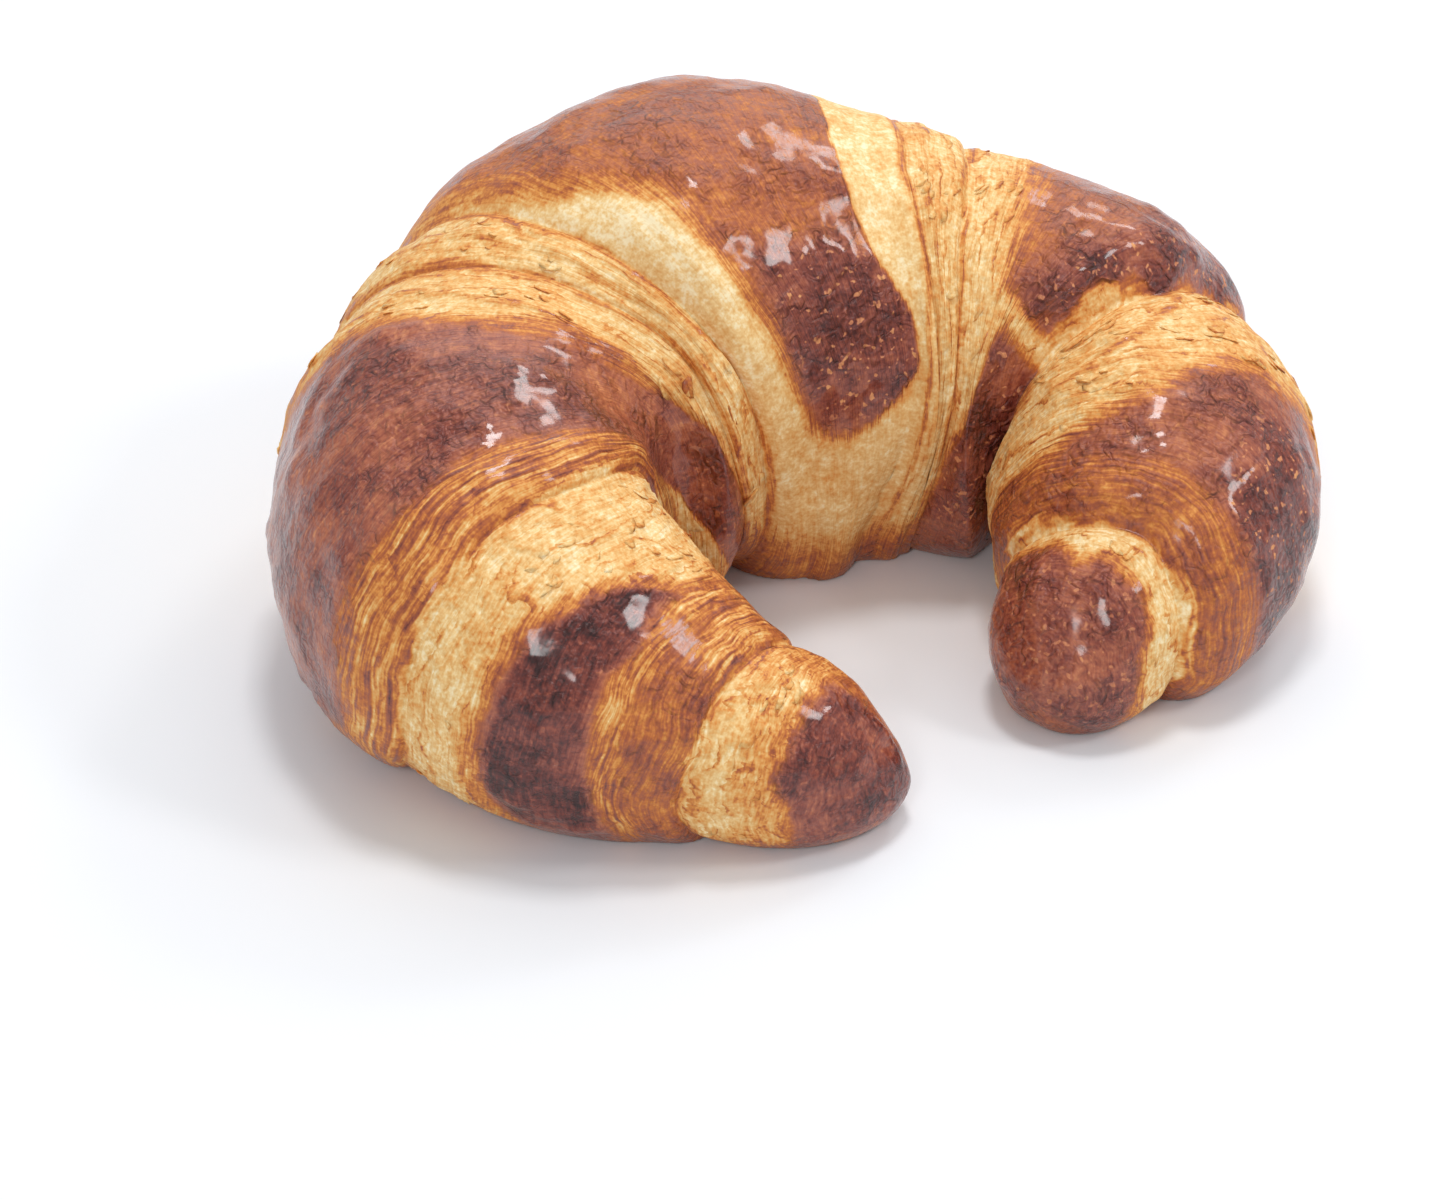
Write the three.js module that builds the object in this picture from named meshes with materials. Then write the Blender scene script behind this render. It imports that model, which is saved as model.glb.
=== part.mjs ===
// A baked croissant, curved, in one piece: rings of rolled dough that step down from
// the crown to the two tips. Millimetres, +Z up. The underside lies flat on Z = 0 and
// the origin is the middle of the box there. The bend opens towards -Y, the larger arm
// is on the -X side.
import * as THREE from "three";
import { mergeVertices } from "three/addons/utils/BufferGeometryUtils.js";

// Centre line: how sharply it bends, in 1/1000 per mm, at the crown and at two elbows
const CROWN_BEND = -6.4;
const LEFT_ELBOW = { bend: 39.3, at: -49, spread: 64 };
const RIGHT_ELBOW = { bend: 51, at: 67.5, spread: 30.5 };
const HALF_LENGTH = 130;
const STEP = 0.5;

// Height of the centre line over the floor: highest at the crown, falling to the tips
const CROWN_HEIGHT = 27.8;
const DROOP = 0.82;
const DROOP_POWER = 1.6;
const DROOP_REACH = 121;

// Inside the bend the dough is squeezed: share of the room there, the crown's dent and
// the bulge beside it
const ROOM_INSIDE = 0.93;
const SQUEEZE_POWER = 8;
const DENT = { depth: 0.24, at: 21, spread: 22 };
const BULGE = { depth: 0.22, at: -14, spread: 16 };

// How full the foot of that side is: 1 is round, less is squarer
const FOOT = 0.5;

// Unevenness of hand-rolled dough: how far a ring's end wanders along the roll, in mm,
// and how much of its radius the skin swells and sinks
const WANDER = 0.4;
const LUMP = 0.016;

// Ends of the rings along the centre line, at five angles round the body in degrees:
// 0 is the ridge, minus is the side inside the bend
const ANGLES = [-120, -75, -30, 30, 100];
const ENDS = {
  leftTip: [-121, -121, -121, -121, -121],
  leftCollar: [-104, -105, -104.5, -98.5, -95],
  leftElbow: [-50, -60, -74, -72, -71],
  leftShoulder: [-2, -14, -26.5, -32, -34],
  crownLeft: [4.5, -2.5, -18, -23, -24],
  crownRight: [31, 37, 32, 28, 27],
  rightShoulder: [34, 41, 39, 37, 36],
  rightElbow: [51, 65, 65, 64, 63],
  rightCollar: [96, 100, 101, 98, 100],
  rightTip: [115, 115, 115, 115, 115],
};

// The rings from the left tip to the right one: radius at both ends, how far the ring
// swells between them, the width of the rounded cut face at either end, and how much
// those faces slope (0 stands up from its foot, 1 leans)
const RINGS = [
  { from: "leftTip", to: "leftCollar", start: 0, end: 13.6, nub: "left" },
  { from: "leftCollar", to: "leftElbow", start: 17.4, end: 24.2, swell: 1.3, leftFace: 6.5, leftSlope: 0.4 },
  { from: "leftElbow", to: "leftShoulder", start: 27.1, end: 25.8, swell: 1, leftFace: 6.5 },
  { from: "leftShoulder", to: "crownLeft", start: 26.8, end: 27.6, swell: 0.3, leftFace: 2 },
  { from: "crownLeft", to: "crownRight", start: 33.4, end: 31.2, swell: 2.5, leftFace: 10, rightFace: 6.5,
    leftSlope: 0.75 },
  { from: "crownRight", to: "rightShoulder", start: 29.8, end: 28.8, swell: 0.3, rightFace: 2 },
  { from: "rightShoulder", to: "rightElbow", start: 27.3, end: 26.3, swell: 0.4, rightFace: 5,
    rightSlope: 0.8 },
  { from: "rightElbow", to: "rightCollar", start: 20.2, end: 19.6, swell: 2.3, rightFace: 6.5,
    rightSlope: 0.4 },
  { from: "rightCollar", to: "rightTip", start: 13.2, end: 0, nub: "right" },
];

// Fineness of the faceted skin
const COLUMNS = 48;
const FACE_ROWS = 4;
const BODY_ROWS = 6;
const NUB_ROWS = 9;

// Crust
const CRUST_COLOUR = 0xb5733a;
const CRUST_ROUGHNESS = 0.45;

const TURN = 2 * Math.PI;

// Curvature of the centre line at a distance along it
function bendAt(along) {
  const bump = (elbow) => elbow.bend * Math.exp(-(((along - elbow.at) / elbow.spread) ** 2));
  return -(CROWN_BEND + bump(LEFT_ELBOW) + bump(RIGHT_ELBOW)) / 1000;
}

// Walks the centre line from the crown one way, adding up heading and place
function walk(direction) {
  const stations = [{ x: 0, y: 0, heading: 0 }];
  for (let n = 1; n * STEP <= HALF_LENGTH; n += 1) {
    const last = stations[n - 1];
    const step = direction * STEP;
    const middle = direction * (n - 0.5) * STEP;
    const heading = last.heading + bendAt(middle) * step;
    const mean = (last.heading + heading) / 2;
    stations.push({ x: last.x + Math.cos(mean) * step, y: last.y + Math.sin(mean) * step, heading });
  }
  return stations;
}

const TOWARDS_LEFT = walk(-1);
const TOWARDS_RIGHT = walk(1);

// Place and heading of the centre line between two stations
function centreLine(along) {
  const stations = along < 0 ? TOWARDS_LEFT : TOWARDS_RIGHT;
  const position = Math.abs(along) / STEP;
  const n = Math.min(Math.floor(position), stations.length - 2);
  const [a, b] = [stations[n], stations[n + 1]];
  const mix = (key) => THREE.MathUtils.lerp(a[key], b[key], position - n);
  return { x: mix("x"), y: mix("y"), heading: mix("heading") };
}

function axisHeight(along) {
  return CROWN_HEIGHT * (1 - DROOP * (Math.abs(along) / DROOP_REACH) ** DROOP_POWER);
}

// How far the end of a ring wanders, different for each ring and none at the tips
function wander(name, angle) {
  if (name.endsWith("Tip")) return 0;
  const phase = Object.keys(ENDS).indexOf(name) * 1.3;
  return WANDER * (Math.sin(3 * angle + phase) + 0.5 * Math.sin(7 * angle + 2 * phase));
}

// Smooth closed line through the five values of a ring's end, round the body
function endAt(name, angle) {
  const values = ENDS[name];
  const count = values.length;
  const knot = (n) => {
    const lap = Math.floor(n / count);
    return THREE.MathUtils.degToRad(ANGLES[n - lap * count]) + lap * TURN;
  };
  const value = (n) => values[((n % count) + count) % count];
  const slope = (n) => {
    const before = knot(n) - knot(n - 1);
    const after = knot(n + 1) - knot(n);
    const rise = (value(n + 1) - value(n)) * (before / after) + (value(n) - value(n - 1)) * (after / before);
    return rise / (before + after);
  };
  let n = -1;
  while (knot(n + 1) <= angle) n += 1;
  const span = knot(n + 1) - knot(n);
  const t = (angle - knot(n)) / span;
  return wander(name, angle)
    + (2 * t ** 3 - 3 * t ** 2 + 1) * value(n)
    + (t ** 3 - 2 * t ** 2 + t) * span * slope(n)
    + (3 * t ** 2 - 2 * t ** 3) * value(n + 1)
    + (t ** 3 - t ** 2) * span * slope(n + 1);
}

// A nub's rows, from its point to its root under the next ring
function nubRows(ring) {
  const rows = [];
  for (let n = 0; n <= NUB_ROWS; n += 1) {
    const share = (n / NUB_ROWS) ** 1.5;
    const left = ring.nub === "left";
    const radius = left
      ? ring.end * (1 - (1 - share) ** 2) ** 0.6
      : ring.start * (1 - (1 - share) ** 2.4) ** 0.55;
    rows.push({ ring, share: left ? share : 1 - share, offset: 0, radius });
  }
  return ring.nub === "left" ? rows.slice(0, -1) : rows.reverse();
}

// A ring's rows: up one rounded cut face, over the swollen middle, down the other. The
// faces run into the middle at its own slope
function ringRows(ring, rootBefore, rootAfter) {
  const { start, end, swell, leftFace = 0, rightFace = 0, leftSlope = 0, rightSlope = 0 } = ring;
  const middle = ENDS[ring.to][3] - ENDS[ring.from][3] - leftFace - rightFace;
  const faceRow = (n, face, slope, root, top, rise) => {
    const up = n / FACE_ROWS;
    const a = up * Math.PI / 2;
    const reach = face * THREE.MathUtils.lerp(1 - Math.cos(a), up, slope);
    const radius = THREE.MathUtils.lerp(root, top, Math.sin(a)) - rise * (face - reach) * up ** 2;
    return { reach, radius };
  };
  const rows = [];
  for (let n = 0; leftFace && n < FACE_ROWS; n += 1) {
    const rise = (end - start + 4 * swell) / middle;
    const { reach, radius } = faceRow(n, leftFace, leftSlope, rootBefore, start, rise);
    rows.push({ ring, share: 0, offset: reach, radius });
  }
  const last = rightFace ? BODY_ROWS : BODY_ROWS - 1;
  for (let n = 0; n <= last; n += 1) {
    const share = n / BODY_ROWS;
    const radius = THREE.MathUtils.lerp(start, end, share) + swell * 4 * share * (1 - share);
    rows.push({ ring, share, offset: leftFace * (1 - share) - rightFace * share, radius });
  }
  for (let n = FACE_ROWS - 1; rightFace && n >= 0; n -= 1) {
    const rise = (start - end + 4 * swell) / middle;
    const { reach, radius } = faceRow(n, rightFace, rightSlope, rootAfter, end, rise);
    rows.push({ ring, share: 1, offset: -reach, radius });
  }
  return rows;
}

function allRows() {
  return RINGS.flatMap((ring, n) => {
    if (ring.nub) return nubRows(ring);
    return ringRows(ring, RINGS[n - 1].end, RINGS[n + 1].start);
  });
}

// How far the skin lies to the side inside the bend, squeezed into the room there
function squeezed(side, along) {
  const depth = (form) => form.depth * Math.exp(-(((along - form.at) / form.spread) ** 2));
  const wanted = side * (1 - depth(DENT) + depth(BULGE));
  const room = ROOM_INSIDE / Math.abs(bendAt(along));
  return wanted / (1 + (wanted / room) ** SQUEEZE_POWER) ** (1 / SQUEEZE_POWER);
}

// A point of the skin, flat where it would sink below the floor
function skinPoint(row, angle) {
  const from = endAt(row.ring.from, angle);
  const to = endAt(row.ring.to, angle);
  const along = THREE.MathUtils.lerp(from, to, row.share) + row.offset;
  const { x, y, heading } = centreLine(along);
  const lumps = Math.sin(2 * angle + along / 14) + 0.7 * Math.sin(3 * angle - along / 8 + 1);
  const radius = row.radius * (1 + LUMP * lumps);
  const sine = Math.sin(angle);
  const outward = radius * (angle < -Math.PI / 2 ? -(Math.abs(sine) ** FOOT) : sine);
  const side = outward < 0 ? -squeezed(-outward, along) : outward;
  const height = axisHeight(along) + radius * Math.cos(angle);
  return new THREE.Vector3(x - Math.sin(heading) * side, y + Math.cos(heading) * side, Math.max(height, 0));
}

// The skin is a ball whose poles are the two tips and whose rows are laid along the rings
function breadGeometry() {
  const rows = allRows();
  const ball = new THREE.SphereGeometry(1, COLUMNS, rows.length - 1);
  ball.deleteAttribute("normal");
  ball.deleteAttribute("uv");
  const position = ball.getAttribute("position");
  rows.forEach((row, n) => {
    for (let column = 0; column <= COLUMNS; column += 1) {
      const angle = Math.PI * (2 * (column % COLUMNS) / COLUMNS - 1);
      const { x, y, z } = skinPoint(row, angle);
      position.setXYZ(n * (COLUMNS + 1) + column, x, y, z);
    }
  });
  const skin = mergeVertices(ball, 1e-4);
  skin.computeBoundingBox();
  const centre = skin.boundingBox.getCenter(new THREE.Vector3());
  skin.translate(-centre.x, -centre.y, 0);
  skin.computeVertexNormals();
  return skin;
}

const croissant = new THREE.Mesh(
  breadGeometry(),
  new THREE.MeshStandardMaterial({ color: CRUST_COLOUR, roughness: CRUST_ROUGHNESS, metalness: 0 }),
);
croissant.name = "croissant";

const bread = new THREE.Group();
bread.add(croissant);

export default bread;
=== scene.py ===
"""A curved butter croissant: rings of rolled dough with a browned, glazed crust and pale flaky layers.

Sizes are in millimetres where a class describes the dough, and metres where a mesh is made.
The angle round the body is 0 at the ridge, minus on the side inside the bend.
"""
import logging
import math
from dataclasses import dataclass, field
from enum import Enum
from typing import Any, Sequence

import bpy
import numpy as np
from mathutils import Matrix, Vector


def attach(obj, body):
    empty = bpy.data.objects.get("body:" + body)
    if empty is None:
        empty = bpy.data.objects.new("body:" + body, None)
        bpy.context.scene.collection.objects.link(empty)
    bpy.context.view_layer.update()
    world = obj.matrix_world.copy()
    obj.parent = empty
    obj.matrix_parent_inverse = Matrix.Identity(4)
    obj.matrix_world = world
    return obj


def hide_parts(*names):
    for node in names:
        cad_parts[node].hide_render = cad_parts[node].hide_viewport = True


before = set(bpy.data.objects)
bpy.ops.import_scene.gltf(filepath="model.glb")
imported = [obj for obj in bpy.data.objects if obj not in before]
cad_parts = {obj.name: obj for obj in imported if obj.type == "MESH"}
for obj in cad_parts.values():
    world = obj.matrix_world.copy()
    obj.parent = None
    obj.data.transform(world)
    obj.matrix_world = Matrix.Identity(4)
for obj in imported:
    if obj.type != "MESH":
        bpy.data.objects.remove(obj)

log = logging.getLogger("croissant")

NODE = "croissant"
BODY = "root"
MM = 0.001
DECIMETRE = 100
SQUARE_CM_IN_M2 = 10000


def tone(red: int, green: int, blue: int) -> tuple[float, float, float, float]:
    """A screen colour from 0 to 255 as the linear colour that the shaders take.

    Args:
        red: Red on the screen.
        green: Green on the screen.
        blue: Blue on the screen.

    Returns:
        Linear red, green, blue and an alpha of 1.
    """
    def linear(value: int) -> float:
        """One channel made linear."""
        share = value / 255
        return share / 12.92 if share <= 0.04045 else ((share + 0.055) / 1.055) ** 2.4
    return linear(red), linear(green), linear(blue), 1.0


def smooth(low: float, high: float, value: np.ndarray) -> np.ndarray:
    """0 below low, 1 above high and an even curve between them.

    Args:
        low: Where the curve begins.
        high: Where it ends.
        value: Where it is wanted.

    Returns:
        The curve there.
    """
    share = np.clip((value - low) / (high - low), 0, 1)
    return share * share * (3 - 2 * share)


def closed_line(degrees: Sequence[float], values: Sequence[float], angle: np.ndarray) -> np.ndarray:
    """A smooth closed line round the body.

    Args:
        degrees: The angles at which the line is known, rising, within one turn.
        values: The line's value at each of them.
        angle: Where it is wanted, in radians from -pi to pi.

    Returns:
        The line's values there.
    """
    turn = 2 * math.pi
    knots = np.radians(np.array(degrees, float))
    knots = np.concatenate([knots - turn, knots, knots + turn])
    known = np.tile(np.array(values, float), 3)
    slopes = np.gradient(known, knots)
    n = np.clip(np.searchsorted(knots, angle, side="right") - 1, 0, len(knots) - 2)
    span = knots[n + 1] - knots[n]
    t = (angle - knots[n]) / span
    return ((2 * t**3 - 3 * t**2 + 1) * known[n] + (t**3 - 2 * t**2 + t) * span * slopes[n]
            + (3 * t**2 - 2 * t**3) * known[n + 1] + (t**3 - t**2) * span * slopes[n + 1])


class Grain:
    """Seeded smooth noise over a plane, between -1 and 1."""

    SIDE = 64
    SHIFTS = (17, 31)
    EVENED = 1.6

    def __init__(self, seed: int) -> None:
        """Draws the lattice for a seed."""
        self.lattice = np.random.default_rng(seed).uniform(-1, 1, (self.SIDE, self.SIDE))

    def at(self, u: np.ndarray, v: np.ndarray) -> np.ndarray:
        """The noise at a place, with one lattice cell to a unit.

        Args:
            u: Place along the rows of the lattice.
            v: Place across them.

        Returns:
            The noise there.
        """
        column, row = np.floor(u).astype(int), np.floor(v).astype(int)
        a, b = smooth(0, 1, u - column), smooth(0, 1, v - row)
        c0, c1 = column % self.SIDE, (column + 1) % self.SIDE
        r0, r1 = row % self.SIDE, (row + 1) % self.SIDE
        grid = self.lattice
        return ((grid[r0, c0] * (1 - a) + grid[r0, c1] * a) * (1 - b)
                + (grid[r1, c0] * (1 - a) + grid[r1, c1] * a) * b)

    def rough(self, u: np.ndarray, v: np.ndarray, octaves: int = 3) -> np.ndarray:
        """The noise with finer layers of it added, each half as strong.

        Args:
            u: Place along the rows of the lattice.
            v: Place across them.
            octaves: How many layers.

        Returns:
            The noise there.
        """
        total = np.zeros(np.broadcast(u, v).shape)
        for octave in range(octaves):
            finer = 2**octave
            total += self.at(u * finer + self.SHIFTS[0] * octave, v * finer + self.SHIFTS[1] * octave) / finer
        return total / self.EVENED


# The form of the dough


class Nub(Enum):
    """Which end of the roll a ring closes, if any."""

    NONE = 0
    LEFT = 1
    RIGHT = 2


@dataclass(frozen=True)
class Elbow:
    """A place where the centre line bends more sharply, in 1/1000 per mm."""

    bend: float
    at: float
    spread: float


@dataclass(frozen=True)
class Ring:
    """One ring of dough between two ends, with the widths of its rounded cut faces.

    The slopes say whether a face stands up from its foot, 0, or leans, 1.
    """

    name: str
    begins: str
    finishes: str
    start: float
    end: float
    swell: float = 0.0
    left_face: float = 0.0
    right_face: float = 0.0
    left_slope: float = 0.0
    right_slope: float = 0.0
    nub: Nub = Nub.NONE


@dataclass(frozen=True)
class Row:
    """A row of the skin: where it lies between a ring's ends, and how far out."""

    ring: Ring
    share: float
    offset: float
    radius: float


@dataclass
class Roll:
    """The rolled dough: a bent centre line with rings of skin laid round it."""

    crown_bend: float = -6.4
    left_elbow: Elbow = Elbow(39.3, -49, 64)
    right_elbow: Elbow = Elbow(51, 67.5, 30.5)
    half_length: float = 130
    step: float = 0.5
    crown_height: float = 27.8
    droop: float = 0.82
    droop_power: float = 1.6
    droop_reach: float = 121
    room_inside: float = 0.93
    squeeze_power: float = 8
    dent_depth: float = 0.24
    dent_at: float = 21
    dent_spread: float = 22
    bulge_depth: float = 0.22
    bulge_at: float = -14
    bulge_spread: float = 16
    foot: float = 0.5
    wander: float = 0.4
    wander_phase: float = 1.3
    wander_waves: tuple[tuple[float, float, float], ...] = ((1, 3, 1), (0.5, 7, 2))
    lump: float = 0.016
    lump_waves: tuple[tuple[float, float, float, float], ...] = ((1, 2, 14, 0), (0.7, 3, -8, 1))
    nub_steps: int = 9
    nub_spacing: float = 1.5
    left_point: tuple[float, float] = (2, 0.6)
    right_point: tuple[float, float] = (2.4, 0.55)
    face_edge: float = 0.3
    lip_fade: float = 4
    solid_rows: tuple[int, int] = (4, 6)
    solid_columns: int = 48
    angles: tuple[float, ...] = (-120, -75, -30, 30, 100)
    ends: dict[str, tuple[float, ...]] = field(default_factory=lambda: {
        "left_tip": (-121, -121, -121, -121, -121),
        "left_collar": (-104, -105, -104.5, -98.5, -95),
        "left_elbow": (-50, -60, -74, -72, -71),
        "left_shoulder": (-2, -14, -26.5, -32, -34),
        "crown_left": (4.5, -2.5, -18, -23, -24),
        "crown_right": (31, 37, 32, 28, 27),
        "right_shoulder": (34, 41, 39, 37, 36),
        "right_elbow": (51, 65, 65, 64, 63),
        "right_collar": (96, 100, 101, 98, 100),
        "right_tip": (115, 115, 115, 115, 115),
    })
    lined: dict[str, float] = field(default_factory=lambda: {
        "left_collar": 8, "left_elbow": 7, "right_collar": -9})
    rings: tuple[Ring, ...] = (
        Ring("left_nub", "left_tip", "left_collar", 0, 13.6, nub=Nub.LEFT),
        Ring("left_arm", "left_collar", "left_elbow", 17.4, 24.2, 1.3, left_face=6.5, left_slope=0.4),
        Ring("left_bend", "left_elbow", "left_shoulder", 27.1, 25.8, 1, left_face=6.5),
        Ring("left_thin", "left_shoulder", "crown_left", 26.8, 27.6, 0.3, left_face=2),
        Ring("crown", "crown_left", "crown_right", 33.4, 31.2, 2.5, left_face=10, right_face=6.5,
             left_slope=0.75),
        Ring("right_thin", "crown_right", "right_shoulder", 29.8, 28.8, 0.3, right_face=2),
        Ring("right_bend", "right_shoulder", "right_elbow", 27.3, 26.3, 0.4, right_face=5, right_slope=0.8),
        Ring("right_arm", "right_elbow", "right_collar", 20.2, 19.6, 2.3, right_face=6.5, right_slope=0.4),
        Ring("right_nub", "right_collar", "right_tip", 13.2, 0, nub=Nub.RIGHT),
    )

    def __post_init__(self) -> None:
        """Walks the centre line once, so that places on it can be looked up."""
        count = int(self.half_length / self.step)
        self.stations = np.arange(-count, count + 1) * self.step
        bends = self.bend_at(self.stations[:-1] + self.step / 2) * self.step
        self.heading = np.concatenate([[0.0], np.cumsum(bends)])
        self.heading -= self.heading[count]
        mean = (self.heading[1:] + self.heading[:-1]) / 2
        self.x = np.concatenate([[0.0], np.cumsum(np.cos(mean) * self.step)])
        self.y = np.concatenate([[0.0], np.cumsum(np.sin(mean) * self.step)])
        self.x -= self.x[count]
        self.y -= self.y[count]

    def bend_at(self, along: np.ndarray) -> np.ndarray:
        """Curvature of the centre line, in 1/mm.

        Args:
            along: Place along it, in mm.

        Returns:
            The curvature there.
        """
        total = np.full(np.shape(along), float(self.crown_bend))
        for elbow in (self.left_elbow, self.right_elbow):
            total = total + elbow.bend * np.exp(-(((along - elbow.at) / elbow.spread) ** 2))
        return -total / 1000

    def axis_height(self, along: np.ndarray) -> np.ndarray:
        """Height of the centre line over the floor."""
        return self.crown_height * (1 - self.droop * (np.abs(along) / self.droop_reach) ** self.droop_power)

    def squeezed(self, side: np.ndarray, along: np.ndarray) -> np.ndarray:
        """How far the skin lies to the side inside the bend, squeezed into the room there.

        Args:
            side: How far it would lie there unsqueezed, in mm.
            along: Place along the centre line, in mm.

        Returns:
            The distance from the centre line, in mm.
        """
        dent = self.dent_depth * np.exp(-(((along - self.dent_at) / self.dent_spread) ** 2))
        bulge = self.bulge_depth * np.exp(-(((along - self.bulge_at) / self.bulge_spread) ** 2))
        wanted = side * (1 - dent + bulge)
        room = self.room_inside / np.abs(self.bend_at(along))
        return wanted / (1 + (wanted / room) ** self.squeeze_power) ** (1 / self.squeeze_power)

    def rows(self, face_rows: float, body_rows: float, per_mm: bool) -> list[Row]:
        """The rows of the skin from the left tip to the right one.

        Args:
            face_rows: Rows on a cut face, or for each mm of it.
            body_rows: Rows on a ring's body, or for each mm of it.
            per_mm: Whether the two numbers are for each mm.

        Returns:
            The rows in order.
        """
        rows: list[Row] = []
        for n, ring in enumerate(self.rings):
            length = self.ends[ring.finishes][3] - self.ends[ring.begins][3]
            body = max(2, round(body_rows * (length if per_mm else 1)))
            if ring.nub is not Nub.NONE:
                rows += self.nub_rows(ring, body if per_mm else self.nub_steps)
                continue
            before, after = self.rings[n - 1].end, self.rings[n + 1].start
            left = round(face_rows * (ring.left_face if per_mm else 1)) if ring.left_face else 0
            right = round(face_rows * (ring.right_face if per_mm else 1)) if ring.right_face else 0
            middle = length - ring.left_face - ring.right_face
            for k in range(left):
                rise = (ring.end - ring.start + 4 * ring.swell) / middle
                reach, radius = self.face_row(k / left, ring.left_face, ring.left_slope, before, ring.start,
                                              rise)
                rows.append(Row(ring, 0, reach, radius))
            for k in range(body + (1 if right else 0)):
                share = k / body
                offset = ring.left_face * (1 - share) - ring.right_face * share
                radius = ring.start + (ring.end - ring.start) * share + ring.swell * 4 * share * (1 - share)
                rows.append(Row(ring, share, offset, radius))
            for k in range(right - 1, 0, -1):
                rise = (ring.start - ring.end + 4 * ring.swell) / middle
                reach, radius = self.face_row(k / right, ring.right_face, ring.right_slope, after, ring.end,
                                              rise)
                rows.append(Row(ring, 1, -reach, radius))
        return rows

    @staticmethod
    def face_row(up: float, face: float, slope: float, root: float, top: float,
                 rise: float) -> tuple[float, float]:
        """How far along and how far out a row of a cut face lies.

        Args:
            up: Where the row is, from 0 at the foot to 1 at the lip.
            face: Width of the face.
            slope: How much it leans.
            root: Radius at its foot.
            top: Radius at its lip.
            rise: Slope of the ring's middle where the face runs into it.

        Returns:
            The distance from the foot and the radius.
        """
        a = up * math.pi / 2
        reach = face * ((1 - math.cos(a)) * (1 - slope) + up * slope)
        return reach, root + (top - root) * math.sin(a) - rise * (face - reach) * up**2

    def nub_rows(self, ring: Ring, count: int) -> list[Row]:
        """A nub's rows from its point to its root, or the other way for the right one.

        Args:
            ring: The nub.
            count: How many steps it takes.

        Returns:
            The rows in order along the roll.
        """
        left = ring.nub is Nub.LEFT
        root = ring.end if left else ring.start
        fullness, bluntness = self.left_point if left else self.right_point
        rows = []
        for n in range(count + 1):
            share = (n / count) ** self.nub_spacing
            radius = root * (1 - (1 - share) ** fullness) ** bluntness
            rows.append(Row(ring, share if left else 1 - share, 0, radius))
        return rows[:-1] if left else rows[::-1]

    def wander_of(self, number: int, name: str, angle: np.ndarray) -> np.ndarray:
        """How far the end of a ring wanders along the roll, in mm: none at the tips.

        Args:
            number: Which end it is, from the left.
            name: Its name.
            angle: Angles round the body, in radians.

        Returns:
            The distance at each angle.
        """
        if name.endswith("tip"):
            return np.zeros_like(angle)
        phase = number * self.wander_phase
        return self.wander * sum(height * np.sin(turns * angle + shift * phase)
                                 for height, turns, shift in self.wander_waves)

    def feet(self, angle: np.ndarray) -> dict[str, np.ndarray]:
        """The line round the body, in mm along the roll, at which each ring begins or ends."""
        return {name: closed_line(self.angles, values, angle) + self.wander_of(n, name, angle)
                for n, (name, values) in enumerate(self.ends.items())}

    def near_face(self, along: np.ndarray, angle: np.ndarray) -> np.ndarray:
        """1 on the lined cut faces of the rings and over their lips, fading out beyond.

        Args:
            along: Place of each point along the centre line, in mm.
            angle: Angle of each column.

        Returns:
            The mask, shaped as along.
        """
        near = np.zeros_like(along)
        for name, foot in self.feet(angle).items():
            wide = self.lined.get(name, 0)
            if wide:
                inside = (along - foot[None, :]) * math.copysign(1, wide)
                cut = smooth(-self.face_edge, self.face_edge, inside)
                near = np.maximum(near, cut * (1 - smooth(0, self.lip_fade, inside - abs(wide))))
        return near

    def from_feet(self, along: np.ndarray, angle: np.ndarray) -> np.ndarray:
        """How far each point of the skin lies along the roll from the nearest foot of a ring, in mm.

        Args:
            along: Place of each point along the centre line, in mm.
            angle: Angle of each column.

        Returns:
            The distances, shaped as along.
        """
        near = np.full(along.shape, np.inf)
        for name, foot in self.feet(angle).items():
            if not name.endswith("tip"):
                near = np.minimum(near, np.abs(along - foot[None, :]))
        return near

    def skin(self, rows: list[Row], columns: int) -> tuple[np.ndarray, np.ndarray, np.ndarray]:
        """Lays the rows round the centre line.

        Args:
            rows: The rows.
            columns: How many points each has.

        Returns:
            The angles, the place along the centre line and the points, in mm.
        """
        angle = math.pi * (2 * np.arange(columns) / columns - 1)
        lines = self.feet(angle)
        along = np.array([(1 - row.share) * lines[row.ring.begins] + row.share * lines[row.ring.finishes]
                          + row.offset for row in rows])
        lumps = sum(height * np.sin(turns * angle + along / length + phase)
                    for height, turns, length, phase in self.lump_waves)
        radius = np.array([row.radius for row in rows])[:, None] * (1 + self.lump * lumps)
        x, y, heading = (np.interp(along, self.stations, line) for line in (self.x, self.y, self.heading))
        sine = np.sin(angle)
        outward = radius * np.where(angle < -math.pi / 2, -np.abs(sine) ** self.foot, sine)
        side = np.where(outward < 0, -self.squeezed(np.maximum(-outward, 0), along), outward)
        height = np.maximum(self.axis_height(along) + radius * np.cos(angle), 0)
        return angle, along, np.stack([x - np.sin(heading) * side, y + np.cos(heading) * side, height], -1)

    def middle(self) -> np.ndarray:
        """The middle of the faceted solid's box, which is the origin of the frame, in mm."""
        points = self.skin(self.rows(*self.solid_rows, False), self.solid_columns)[2].reshape(-1, 3)
        middle = (points.min(0) + points.max(0)) / 2
        middle[2] = 0
        return middle


# Browning


BROWN_ANGLES = (-120, -90, -75, -60, -45, -30, -15, 0, 15, 30, 60, 100)


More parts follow.
